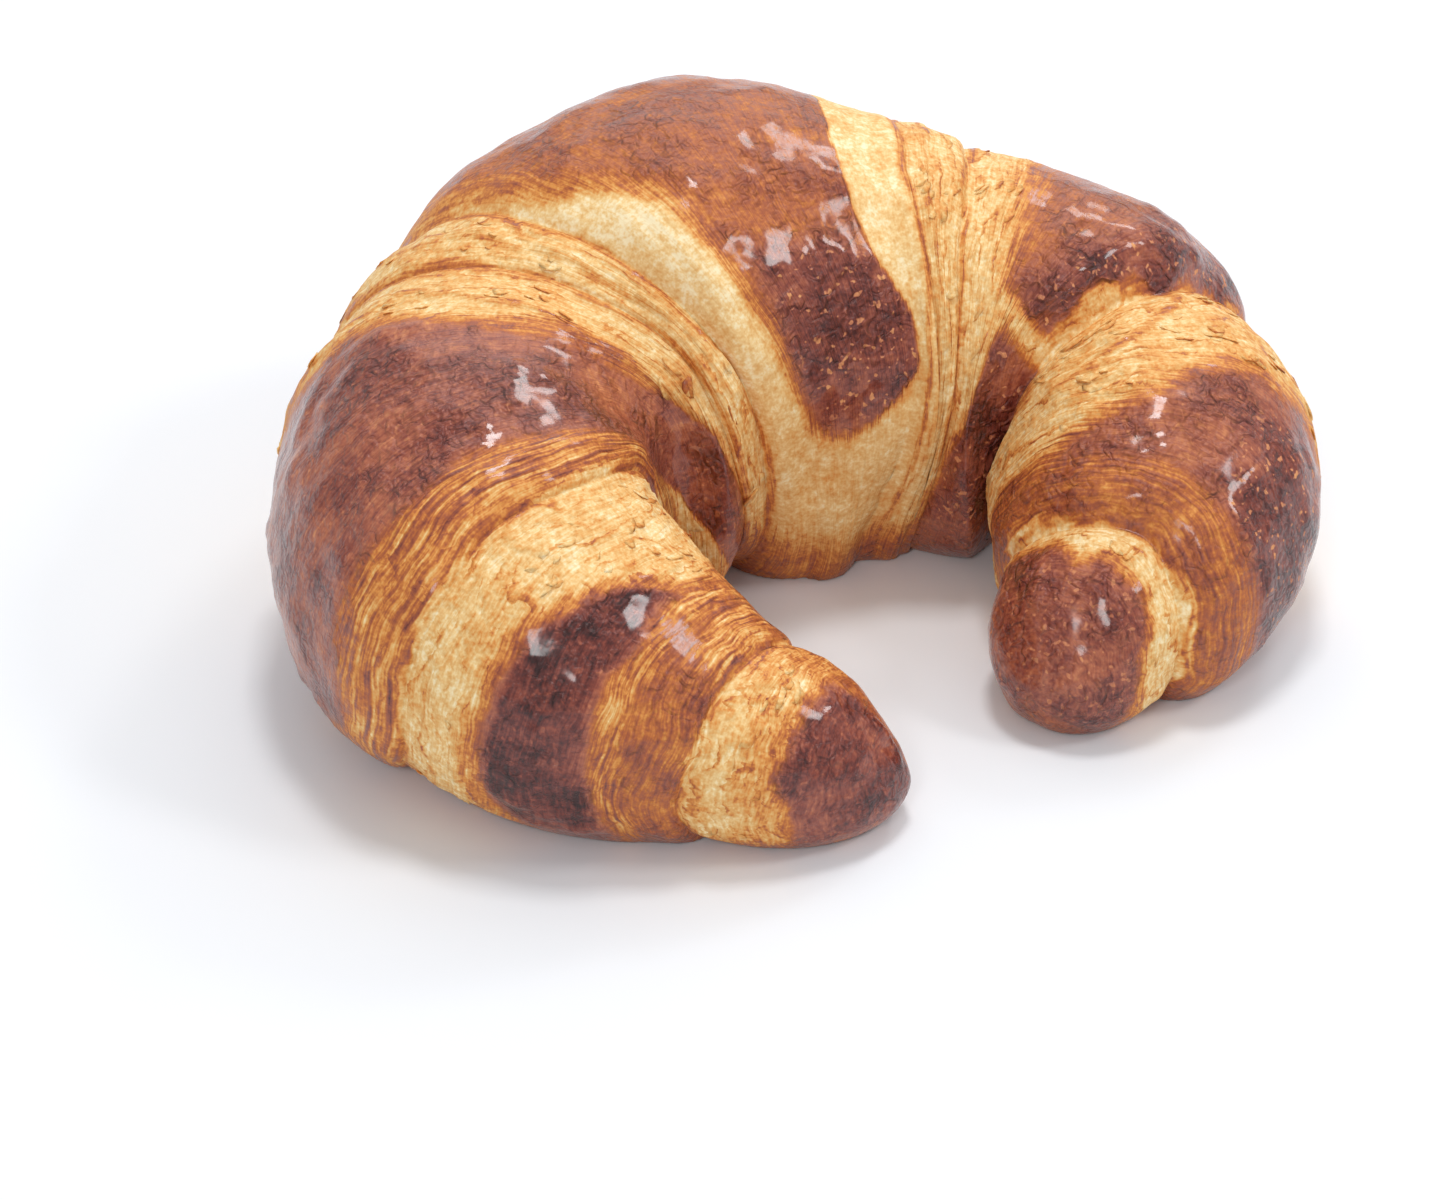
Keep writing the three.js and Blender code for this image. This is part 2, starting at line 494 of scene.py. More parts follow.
@dataclass(frozen=True)
class Patch:
    """An area of the crust with its own bake, between two lines round the body.

    Its ledge is how far its border stands out, in mm: on the left one if it is minus, else on the right.
    """

    name: str
    level: float
    left: tuple[float, ...]
    right: tuple[float, ...]
    soft_left: float = 2.0
    soft_right: float = 2.0
    ragged: float = 1.0
    low: float = -400.0
    high: float = 400.0
    soft_angle: float = 6.0
    strength: float = 1.0
    ledge: float = 0.0


@dataclass(frozen=True)
class Ripple:
    """A layer of noise over the crust: its seed's place in the row, its cells in mm and how rough it is."""

    step: int
    length: float
    width: float
    octaves: int

    def over(self, seed: int, along: np.ndarray, round_mm: np.ndarray) -> np.ndarray:
        """The noise at places along the roll and round it."""
        return Grain(seed + self.step).rough(along / self.length, round_mm / self.width, self.octaves)


def even(value: float) -> tuple[float, ...]:
    """A line at the same place all round the body."""
    return (value,) * len(BROWN_ANGLES)


def line(name: str, level: float, left: tuple[float, ...], width: float = 1.2, low: float = -400.0,
         high: float = 400.0, strength: float = 0.85, ledge: float = 0.0) -> Patch:
    """A thin browned edge of a sheet of dough.

    Args:
        name: Its name.
        level: Its bake.
        left: Where it begins, at each of the angles.
        width: How wide it is, in mm.
        low: The lowest angle it reaches.
        high: The highest angle it reaches.
        strength: How much of the level it takes.
        ledge: How far it stands out, in mm, as for a patch.

    Returns:
        The patch.
    """
    right = tuple(value + width for value in left)
    return Patch(name, level, left, right, 0.7, 0.7, 0.7, low, high, 10.0, strength, ledge)


@dataclass
class Browning:
    """How dark each place of the crust is baked, from 0, pale dough, to 1, dark brown."""

    pale: float = 0.2
    ragged_mm: float = 1.5
    seed: int = 11
    mean_radius: float = 26
    wander: Ripple = Ripple(0, 8, 7, 4)
    fray: Ripple = Ripple(1, 5, 1.8, 3)
    slant: Ripple = Ripple(2, 9, 9, 3)
    jag: Ripple = Ripple(2, 1.6, 12, 2)
    slant_degrees: float = 4
    jag_degrees: float = 1.6
    wander_share: float = 0.75
    fray_share: float = 0.15
    ledge_edge: tuple[float, float] = (-0.3, 0.4)
    ledge_reach: float = 3.5
    ledge_least: float = 0.75
    ledge_fray: float = 0.5
    under_angles: tuple[float, float] = (112, 140)
    under_bake: float = 0.62
    under_strength: float = 0.8
    patches: tuple[Patch, ...] = (
        # left nub
        Patch("left_nub", 0.3, even(-150), even(-101), ragged=1.2),
        Patch("left_tip_dark", 0.82, even(-150),
              (-113, -113, -113, -113, -112, -112, -111, -110, -109, -107.5, -106, -106), soft_right=3.5,
              ragged=1.6),
        Patch("left_nub_ridge", 0.5, even(-150), even(-105), soft_right=3.0, ragged=1.4, low=-70, high=-4,
              soft_angle=12, strength=0.75),
        # left arm
        Patch("left_arm_face", 0.57,
              (-104, -104.8, -105, -105, -105, -104.5, -103.2, -101.8, -100, -98.5, -96.5, -95),
              (-93.5, -93.5, -93.5, -94.5, -95.5, -94.5, -93, -92, -90.5, -89.3, -87.5, -86.5),
              soft_left=0.6, soft_right=1.5, ragged=0.4),
        Patch("left_arm_stripe", 0.34,
              (-104, -104, -104, -104, -104, -103, -102, -101, -99.6, -98, -96, -95),
              (-100, -100, -100, -100, -100, -98.4, -97.4, -96.6, -95.6, -95.2, -94.4, -94), soft_left=0.8,
              soft_right=1.6, ragged=0.6, low=-30, high=26, soft_angle=16, strength=0.6),
        Patch("left_arm_warm", 0.46, (-97, -97, -97, -97, -97, -97, -96, -95, -93, -92, -90, -89.5),
              (-88, -88, -89, -90, -91, -92.5, -93.4, -90.4, -85, -81.8, -78.2, -76.8), soft_left=1.2,
              soft_right=2.2, ragged=0.9),
        Patch("left_arm_dark", 0.88,
              (-95, -95, -95, -95, -94.5, -93.8, -93.3, -92.2, -90.6, -89.4, -87.4, -87),
              (-97, -97, -97, -97, -97, -97, -95.4, -92.2, -86.6, -83.6, -80, -78.6), soft_left=2.4,
              soft_right=1.7, ragged=0.6),
        # left bend
        Patch("left_bend_face", 0.47, (-50, -56, -60, -68, -72, -74, -74, -74, -73.4, -72.7, -71.4, -71),
              (-38, -44, -52, -59.5, -63.5, -66.5, -66, -65, -64, -63, -62, -62), soft_left=0.8,
              ragged=0.5),
        Patch("left_bend_warm", 0.5, (-15, -38, -55, -63, -67.7, -70, -69.5, -68.5, -67.5, -66.5, -66, -66),
              (-2, -12, -20.5, -34, -36, -38, -41.5, -44, -42, -41, -41.7, -43), soft_left=2.2,
              soft_right=3.0),
        Patch("left_bend_dark", 0.73, (-15, -37, -54, -61.5, -66, -68.5, -68, -67, -66, -65, -64.5, -64.5),
              (-3.4, -13.4, -22, -36, -44, -46, -46, -46, -44, -43, -43.7, -45), soft_left=2.4,
              soft_right=2.4, ragged=1.2),
        Patch("left_bend_faded", 0.6, even(-64), even(-40), soft_left=6.0, soft_right=6.0, ragged=2.5,
              low=-64, high=-22, soft_angle=16, strength=0.5),
        line("left_bend_rim", 0.42, (-4, -11, -20, -33, -39, -41, -40, -40, -38, -38, -41, -42), 1.2,
             strength=0.6, ledge=-0.4),
        line("left_thin_edge", 0.47, (-4, -9, -13.5, -18, -23, -28.3, -30, -32.3, -32.3, -33, -33.5, -34.5),
             1.5, ledge=-0.6),
        line("left_thin_line", 0.4, (0, -5, -9, -13.5, -18.5, -24, -26, -28, -28, -28.5, -29, -30), 0.8,
             low=-70, strength=0.6, ledge=-0.4),
        # crown
        line("crown_foot", 0.46, (3.5, 1, -3.5, -8.5, -15.5, -19.5, -22, -23.8, -24, -24, -24.3, -24.5),
             1.4),
        Patch("crown_slope", 0.09, (5, 2.4, -2, -7, -14, -18, -20.5, -22.4, -22.6, -22.6, -23, -23),
              even(20), soft_left=1.2, ragged=0.4, low=-76, soft_angle=24),
        Patch("crown_warm", 0.44, (13, 11.5, 7.4, 2.8, -3.5, -8.6, -13, -20, -22, -22.5, -23, -23.5),
              (-20, 21.5, 31, 31.6, 24.9, 21.8, 20.2, 19.6, 19.1, 18.9, 18.9, 18.9), soft_left=3.0,
              soft_right=0.5, ragged=0.5, low=-90),
        Patch("crown_brown", 0.59, (14, 13.5, 10.2, 5.8, -0.5, -4.9, -8.6, -17, -19, -19.5, -20, -20.5),
              (-20, 20, 30.2, 31, 24.6, 21.6, 20, 19.4, 18.9, 18.7, 18.7, 18.7), soft_left=4.4,
              soft_right=0.5, ragged=0.8, low=-88, soft_angle=4),
        Patch("crown_end", 0.8, (14, 13, 10.4, 6.5, 3, 0, -3, -8, -8, -8, -8, -8),
              (-20, 19.5, 30, 31, 24.6, 21.6, 20, 19.4, 18.9, 18.7, 18.7, 18.7), soft_left=5.0,
              soft_right=0.5, ragged=0.9, low=-86, high=-42, soft_angle=12),
        Patch("crown_lip", 0.14, (-20, 16, 31, 32, 25.1, 22, 20.4, 19.8, 19.3, 19.1, 19.1, 19.1),
              (31, 35, 36, 34, 32, 30, 29, 28.5, 28, 27.6, 27.4, 27.2), soft_left=0.5, soft_right=1.0,
              ragged=0.4, low=-62, soft_angle=20),
        # right bend
        line("right_thin_line", 0.46, (27, 33, 34, 33.8, 33, 31.2, 29.6, 28.6, 28.4, 28.2, 28, 27.8), 1.1,
             ledge=0.5),
        line("right_thin_second", 0.36, (28, 35, 36.4, 36.2, 35.4, 33.8, 32.6, 31.8, 31.6, 31.4, 31, 31),
             0.8, strength=0.7, ledge=0.4),
        line("right_shoulder_line", 0.45, (33, 38.6, 40.6, 40.4, 40, 39.4, 38.8, 38, 37.8, 37.4, 37, 37),
             1.0, ledge=0.4),
        Patch("right_bend_warm", 0.44, (49, 49, 49, 49, 49, 49, 46.5, 45, 44.5, 44, 44, 44), even(64.6),
              soft_left=6.0, soft_right=1.2, ragged=1.4, low=-38),
        Patch("right_bend_brown", 0.6, (52, 52, 52, 52, 52, 52, 49.5, 48, 47.5, 47, 47, 47),
              (62, 62, 62, 62, 63, 63.4, 64, 63.7, 63.5, 63.3, 63, 63), soft_left=7.0, soft_right=1.0,
              ragged=1.8, low=-36, soft_angle=4.0),
        Patch("right_bend_dark", 0.82, even(58.5), (62, 62, 62, 62, 63, 63.4, 64, 63.7, 63.5, 63.3, 63, 63),
              soft_left=7.0, soft_right=0.9, ragged=1.6, low=-36, soft_angle=4.0, strength=0.85),
        Patch("right_bend_strip_warm", 0.48, (33, 41, 47, 50.5, 54.5, 58, 60, 60, 60, 60, 60, 60),
              (56, 67.5, 72, 77, 76, 66, 63, 63, 63, 63, 63, 63), soft_left=2.2, soft_right=2.6, ragged=0.8,
              high=-45, soft_angle=4.0),
        Patch("right_bend_strip", 0.76, (34.5, 42.5, 48.6, 52, 56.5, 59, 60, 60, 60, 60, 60, 60),
              (53, 63.5, 66.5, 67, 67, 64, 63, 63, 63, 63, 63, 63), soft_right=3.0, ragged=0.8, high=-48,
              soft_angle=3.5),
        # right arm
        Patch("fan", 0.22, even(66), even(88), soft_left=4.0, soft_right=6.0, low=-44, high=50,
              soft_angle=20),
        line("fan_line_upper", 0.45, (84, 84, 84, 83.5, 81, 78.6, 74.6, 70.2, 66, 62, 56, 50), 1.4, low=-36,
             high=24, ledge=0.5),
        line("fan_line_lower", 0.4, (86, 86, 86, 85, 82.5, 79.4, 78.2, 77.2, 75, 72, 66, 60), 1.0, low=-42,
             high=2, ledge=0.4),
        Patch("right_arm_warm", 0.47, (94, 95, 95, 95, 94, 91.5, 87, 82.5, 77, 75, 75, 77), even(101),
              soft_left=3.0, ragged=1.3),
        Patch("right_arm_brown", 0.66, (96, 97, 97, 97, 96, 94, 89.4, 85, 79.4, 77.3, 77.3, 79.5),
              (94, 95, 96, 96, 96, 96.5, 95, 94, 93, 92.5, 92, 93.5), soft_left=2.6, soft_right=3.0,
              ragged=1.3),
        Patch("right_arm_outer", 0.86, even(80), even(93.5), soft_left=8.0, soft_right=5.0, ragged=1.6,
              low=38, soft_angle=34, strength=0.8),
        Patch("right_arm_face", 0.56, (92, 92, 93, 93, 94, 94.5, 94, 93, 92, 91.5, 92, 93),
              (96, 98, 99, 100, 100, 100.4, 100, 99, 98.3, 98, 98.2, 99.5), soft_right=0.8, ragged=0.3),
        Patch("right_collar", 0.16,
              (96.5, 98.5, 99.5, 100.5, 100.5, 100.8, 100.3, 99.3, 98.5, 98.2, 98.4, 99.7), even(120),
              soft_left=0.6, ragged=0.4),
        Patch("right_tip_warm", 0.47,
              (102, 102.5, 102.5, 102.5, 102.5, 102.5, 102.6, 103.4, 102.4, 102.2, 103.6, 106), even(150),
              soft_left=1.4, ragged=1.2),
        Patch("right_tip_dark", 0.73, (103.5, 104, 104, 104, 104, 104, 104.2, 105, 104, 103.8, 105, 108),
              even(150), soft_left=1.8, ragged=1.4),
    )

    def bake(self, along: np.ndarray, angle: np.ndarray) -> tuple[np.ndarray, np.ndarray]:
        """The bake of every point of the skin, and how far the rims of loose sheets stand out there.

        Args:
            along: Place along the centre line, in mm, one row for each row of the skin.
            angle: Angle of each column, in radians.

        Returns:
            The bake, from 0 to 1, and the ledges, in mm, both shaped as along.
        """
        round_mm = angle[None, :] * self.mean_radius
        wander, fray, slant, jag = (ripple.over(self.seed, along, round_mm)
                                    for ripple in (self.wander, self.fray, self.slant, self.jag))
        degrees = np.degrees(angle)[None, :] + self.slant_degrees * slant
        degrees += self.jag_degrees * jag
        torn = self.wander_share * wander + self.fray_share * fray
        bake = np.full(along.shape, self.pale)
        ledges = np.zeros(along.shape)
        for patch in self.patches:
            left = closed_line(BROWN_ANGLES, patch.left, angle)[None, :]
            right = closed_line(BROWN_ANGLES, patch.right, angle)[None, :]
            moved = along + patch.ragged * self.ragged_mm * torn
            reach = smooth(-0.5, 0.5, (degrees - patch.low) / patch.soft_angle)
            reach *= smooth(-0.5, 0.5, (patch.high - degrees) / patch.soft_angle)
            mask = smooth(-0.5, 0.5, (moved - left) / patch.soft_left)
            mask *= smooth(-0.5, 0.5, (right - moved) / patch.soft_right)
            bake += (patch.level - bake) * mask * reach * patch.strength
            log.debug("browned %s to %.2f", patch.name, patch.level)
            if patch.ledge:
                inside = moved - left if patch.ledge < 0 else right - moved
                fading = np.exp(-((np.maximum(inside, 0) / self.ledge_reach) ** 2))
                height = abs(patch.ledge) * (self.ledge_least + self.ledge_fray * fray)
                ledges = np.maximum(ledges, smooth(*self.ledge_edge, inside) * fading * reach * height)
        under = smooth(*self.under_angles, np.abs(np.degrees(angle)))[None, :]
        return bake + (self.under_bake - bake) * under * self.under_strength, ledges * (1 - under)


# Node trees


class Graph:
    """A node tree being wired up, for shaders and for geometry alike."""

    def __init__(self, tree: Any) -> None:
        """Takes the tree to fill."""
        self.tree = tree

    def put(self, socket: Any, value: Any) -> None:
        """Joins an output to a socket, or sets a plain value on it.

        Args:
            socket: The socket of a node.
            value: An output of another node, or a value.
        """
        if isinstance(value, bpy.types.NodeSocket):
            self.tree.links.new(value, socket)
        else:
            socket.default_value = value

    def add(self, kind: str, inputs: dict[Any, Any] | None = None, **settings: Any) -> Any:
        """Adds a node.

        Args:
            kind: The node's type name.
            inputs: Values or outputs for its inputs, by name or number.
            **settings: Properties of the node.

        Returns:
            The node.
        """
        node = self.tree.nodes.new(kind)
        for name, value in settings.items():
            setattr(node, name, value)
        for key, value in (inputs or {}).items():
            self.put(node.inputs[key], value)
        return node

    def math(self, operation: str, *values: Any, clamp: bool = False) -> Any:
        """A sum, product or other operation on numbers."""
        node = self.add("ShaderNodeMath", dict(enumerate(values)), operation=operation, use_clamp=clamp)
        return node.outputs[0]

    def row(self, operation: str, values: Sequence[Any]) -> Any:
        """One operation taken over a row of numbers.

        Args:
            operation: Its name.
            values: Numbers or outputs, in order.

        Returns:
            The output of the last step.
        """
        total = values[0]
        for value in values[1:]:
            total = self.math(operation, total, value)
        return total

    def times(self, *factors: Any) -> Any:
        """The product of numbers."""
        return self.row("MULTIPLY", factors)

    def plus(self, *terms: Any) -> Any:
        """The sum of numbers."""
        return self.row("ADD", terms)

    def minus(self, first: Any, second: Any) -> Any:
        """The difference of two numbers."""
        return self.math("SUBTRACT", first, second)

    def vector(self, operation: str, *values: Any) -> Any:
        """An operation on vectors; scale takes its factor as a second value.

        Args:
            operation: Its name.
            *values: One or two vectors, or a vector and a factor.

        Returns:
            The resulting vector.
        """
        node = self.add("ShaderNodeVectorMath", {0: values[0]}, operation=operation)
        if operation == "SCALE":
            self.put(node.inputs["Scale"], values[1])
        elif len(values) > 1:
            self.put(node.inputs[1], values[1])
        return node.outputs[0]

    def between(self, value: Any, low: float, high: float, to_low: float = 0.0, to_high: float = 1.0) -> Any:
        """A value brought smoothly from one range into another and held there."""
        node = self.add("ShaderNodeMapRange", {0: value, 1: low, 2: high, 3: to_low, 4: to_high},
                        interpolation_type="SMOOTHSTEP")
        return node.outputs[0]

    def blend(self, factor: Any, first: Any, second: Any) -> Any:
        """Two colours mixed."""
        return self.add("ShaderNodeMix", {0: factor, 6: first, 7: second}, data_type="RGBA").outputs[2]

    def ramp(self, factor: Any, stops: Sequence[tuple[float, tuple[float, ...]]]) -> Any:
        """A colour picked from a row of stops by a value.

        Args:
            factor: The value.
            stops: Positions with their linear colours, rising.

        Returns:
            The colour.
        """
        node = self.add("ShaderNodeValToRGB", {0: factor})
        elements = node.color_ramp.elements
        while len(elements) < len(stops):
            elements.new(0.5)
        for element, (position, colour) in zip(elements, stops):
            element.position = position
            element.color = colour
        return node.outputs[0]

    def noise(self, vector: Any, scale: float, detail: float = 2.0, rough: float = 0.5) -> Any:
        """Smooth noise from 0 to 1 at a place."""
        return self.add("ShaderNodeTexNoise", {
            "Vector": vector, "Scale": scale, "Detail": detail, "Roughness": rough}).outputs[0]

    def stretched(self, vector: Any, factors: tuple[float, float, float]) -> Any:
        """A place with each direction scaled."""
        return self.vector("MULTIPLY", vector, factors)

    def parts(self, vector: Any) -> Any:
        """The three numbers of a vector, as a node's outputs."""
        return self.add("ShaderNodeSeparateXYZ", {0: vector}).outputs

    def joined(self, *values: Any) -> Any:
        """A vector of up to three numbers."""
        return self.add("ShaderNodeCombineXYZ", dict(enumerate(values))).outputs[0]

    def stored(self, name: str, data_type: str = "FLOAT") -> Any:
        """A named attribute, in a geometry tree."""
        node = self.add("GeometryNodeInputNamedAttribute", {"Name": name}, data_type=data_type)
        return node.outputs["Attribute"]


class Socket(Enum):
    """What a socket of a group carries."""

    NUMBER = "NodeSocketFloat"
    WHOLE = "NodeSocketInt"
    VECTOR = "NodeSocketVector"
    GEOMETRY = "NodeSocketGeometry"


def new_group(name: str, kind: str, inputs: dict[str, Any],
              outputs: dict[str, Socket]) -> tuple[Graph, Any, Any]:
    """Starts a node group.

    Args:
        name: The group's name.
        kind: The tree's type name.
        inputs: For each input, its default number, or what it carries where it has none.
        outputs: For each output, what it carries.

    Returns:
        The graph, the input node and the output node.
    """
    tree = bpy.data.node_groups.new(name, kind)
    for label, default in inputs.items():
        plain = not isinstance(default, Socket)
        carried = (Socket.WHOLE if isinstance(default, int) else Socket.NUMBER) if plain else default
        socket = tree.interface.new_socket(label, in_out="INPUT", socket_type=carried.value)
        if plain:
            socket.default_value = default
    for label, carried in outputs.items():
        tree.interface.new_socket(label, in_out="OUTPUT", socket_type=carried.value)
    graph = Graph(tree)
    return graph, graph.add("NodeGroupInput"), graph.add("NodeGroupOutput")


def fibre_group() -> Any:
    """Threads and laminae of dough that run round the body, as masks on the flow map.

    Returns:
        The shader group, with inputs Flow, Pitch and Waviness, and outputs Lines, Threads and Laminae.
    """
    graph, given, made = new_group(
        "dough_threads", "ShaderNodeTree",
        {"Flow": Socket.VECTOR, "Pitch": 0.01, "Waviness": 0.02},
        {"Lines": Socket.NUMBER, "Threads": Socket.NUMBER, "Laminae": Socket.NUMBER})
    flow, pitch = given.outputs["Flow"], given.outputs["Pitch"]
    sway_cells, waver_height, laminae_per_pitch, crest_power = (14, 9, 0), 9.0, 7.4, 1.5
    parts = graph.parts(flow)
    sway = graph.minus(graph.noise(graph.stretched(flow, sway_cells), 1.0, 2.0), 0.5)
    across = graph.math("MULTIPLY_ADD", sway, given.outputs["Waviness"], parts[0])
    pitches = graph.math("DIVIDE", across, pitch)
    length = graph.math("DIVIDE", parts[1], pitch)

    def streaks(fine: float, long: float, detail: float, rough: float) -> Any:
        """Noise drawn out round the body."""
        place = graph.joined(graph.times(pitches, fine), graph.times(length, long))
        return graph.noise(place, 1.0, detail, rough)

    waver = graph.times(streaks(0.3, 0.03, 1.0, 0.5), waver_height)
    wave = graph.math("SINE", graph.plus(graph.times(pitches, laminae_per_pitch), waver))
    ridge = graph.math("POWER", graph.math("MULTIPLY_ADD", wave, 0.5, 0.5), crest_power)
    laminae = graph.times(ridge, graph.between(streaks(1.2, 0.06, 1.0, 0.6), 0.3, 0.62))
    graph.put(made.inputs["Lines"], streaks(1.2, 0.06, 2.0, 0.65))
    graph.put(made.inputs["Threads"], streaks(3.4, 0.14, 1.0, 0.7))
    graph.put(made.inputs["Laminae"], laminae)
    return graph.tree


def torn_group() -> Any:
    """Sheets of dough that lie over one another like shingles, with torn, browned rims.

    Returns:
        The shader group, with inputs Flow and Pitch, and outputs Crest and Rim.
    """
    graph, given, made = new_group(
        "torn_sheets", "ShaderNodeTree",
        {"Flow": Socket.VECTOR, "Pitch": 0.03}, {"Crest": Socket.NUMBER, "Rim": Socket.NUMBER})
    flow, pitch = given.outputs["Flow"], given.outputs["Pitch"]
    broad_sway, ragged_sway, crest_power, crest_drop = 3.4, 0.7, 1.6, 0.87
    unit = graph.vector("SCALE", flow, graph.math("DIVIDE", 1.0, pitch))
    broad = graph.noise(graph.stretched(unit, (0.5, 0.2, 1.0)), 1.0, 1.0)
    ragged = graph.noise(graph.stretched(unit, (1.2, 1.6, 1.0)), 1.0, 2.0, 0.6)
    sway = graph.plus(graph.times(broad, broad_sway), graph.times(ragged, ragged_sway))
    slide = graph.math("FRACT", graph.plus(graph.math("DIVIDE", graph.parts(flow)[0], pitch), sway))
    patchy = graph.between(graph.noise(graph.stretched(unit, (0.4, 0.22, 1.0)), 1.7, 1.0), 0.42, 0.62)
    rim = graph.times(graph.between(slide, 0.72, 0.94), graph.between(slide, 1.0, 0.98))
    crest = graph.times(graph.math("POWER", slide, crest_power), graph.between(slide, 1.0, crest_drop))
    graph.put(made.inputs["Crest"], graph.times(crest, patchy))
    graph.put(made.inputs["Rim"], graph.times(rim, patchy))
    return graph.tree


def crackle_group() -> Any:
    """Crackle of the glazed crust: wrinkles, and pale specks that are partly pale flecks and partly painted
    glints.

    Returns:
        The shader group, with inputs Place and Scale, and outputs Wrinkle, Speck_Glint and Crumb.
    """
    graph, given, made = new_group(
        "crust_crackle", "ShaderNodeTree",
        {"Place": Socket.VECTOR, "Scale": 300.0},
        {"Wrinkle": Socket.NUMBER, "Speck_Glint": Socket.NUMBER, "Crumb": Socket.NUMBER})
    warp_reach, fold_height, speck_glint_shift = 1.6, 4.0, (7.0, 3.0, 5.0)
    scaled = graph.vector("SCALE", given.outputs["Place"], given.outputs["Scale"])
    warp = graph.add("ShaderNodeTexNoise", {"Vector": scaled, "Scale": 1.2, "Detail": 0.0})
    swirl = graph.vector("SUBTRACT", warp.outputs["Color"], (0.5, 0.5, 0.5))
    moved = graph.vector("ADD", scaled, graph.vector("SCALE", swirl, warp_reach))
    folds = graph.math("ABSOLUTE", graph.minus(graph.noise(moved, 0.5, 2.0), 0.5))
    spots = graph.noise(graph.vector("ADD", scaled, speck_glint_shift), 1.7, 1.0, 0.6)
    graph.put(made.inputs["Wrinkle"], graph.times(folds, fold_height))
    graph.put(made.inputs["Speck_Glint"], graph.between(spots, 0.62, 0.7))
    graph.put(made.inputs["Crumb"], graph.noise(scaled, 3.2, 1.0, 0.65))
    return graph.tree


# Finishes


@dataclass(frozen=True)
class Share:
    """How strongly a pattern shows: everywhere, and more on each kind of crust."""

    pattern: str
    always: float = 0.0
    flaky: float = 0.0
    face: float = 0.0
    cut: float = 0.0
    edge: float = 0.0
    brown: float = 0.0
    dark: float = 0.0
    wrinkled: float = 0.0


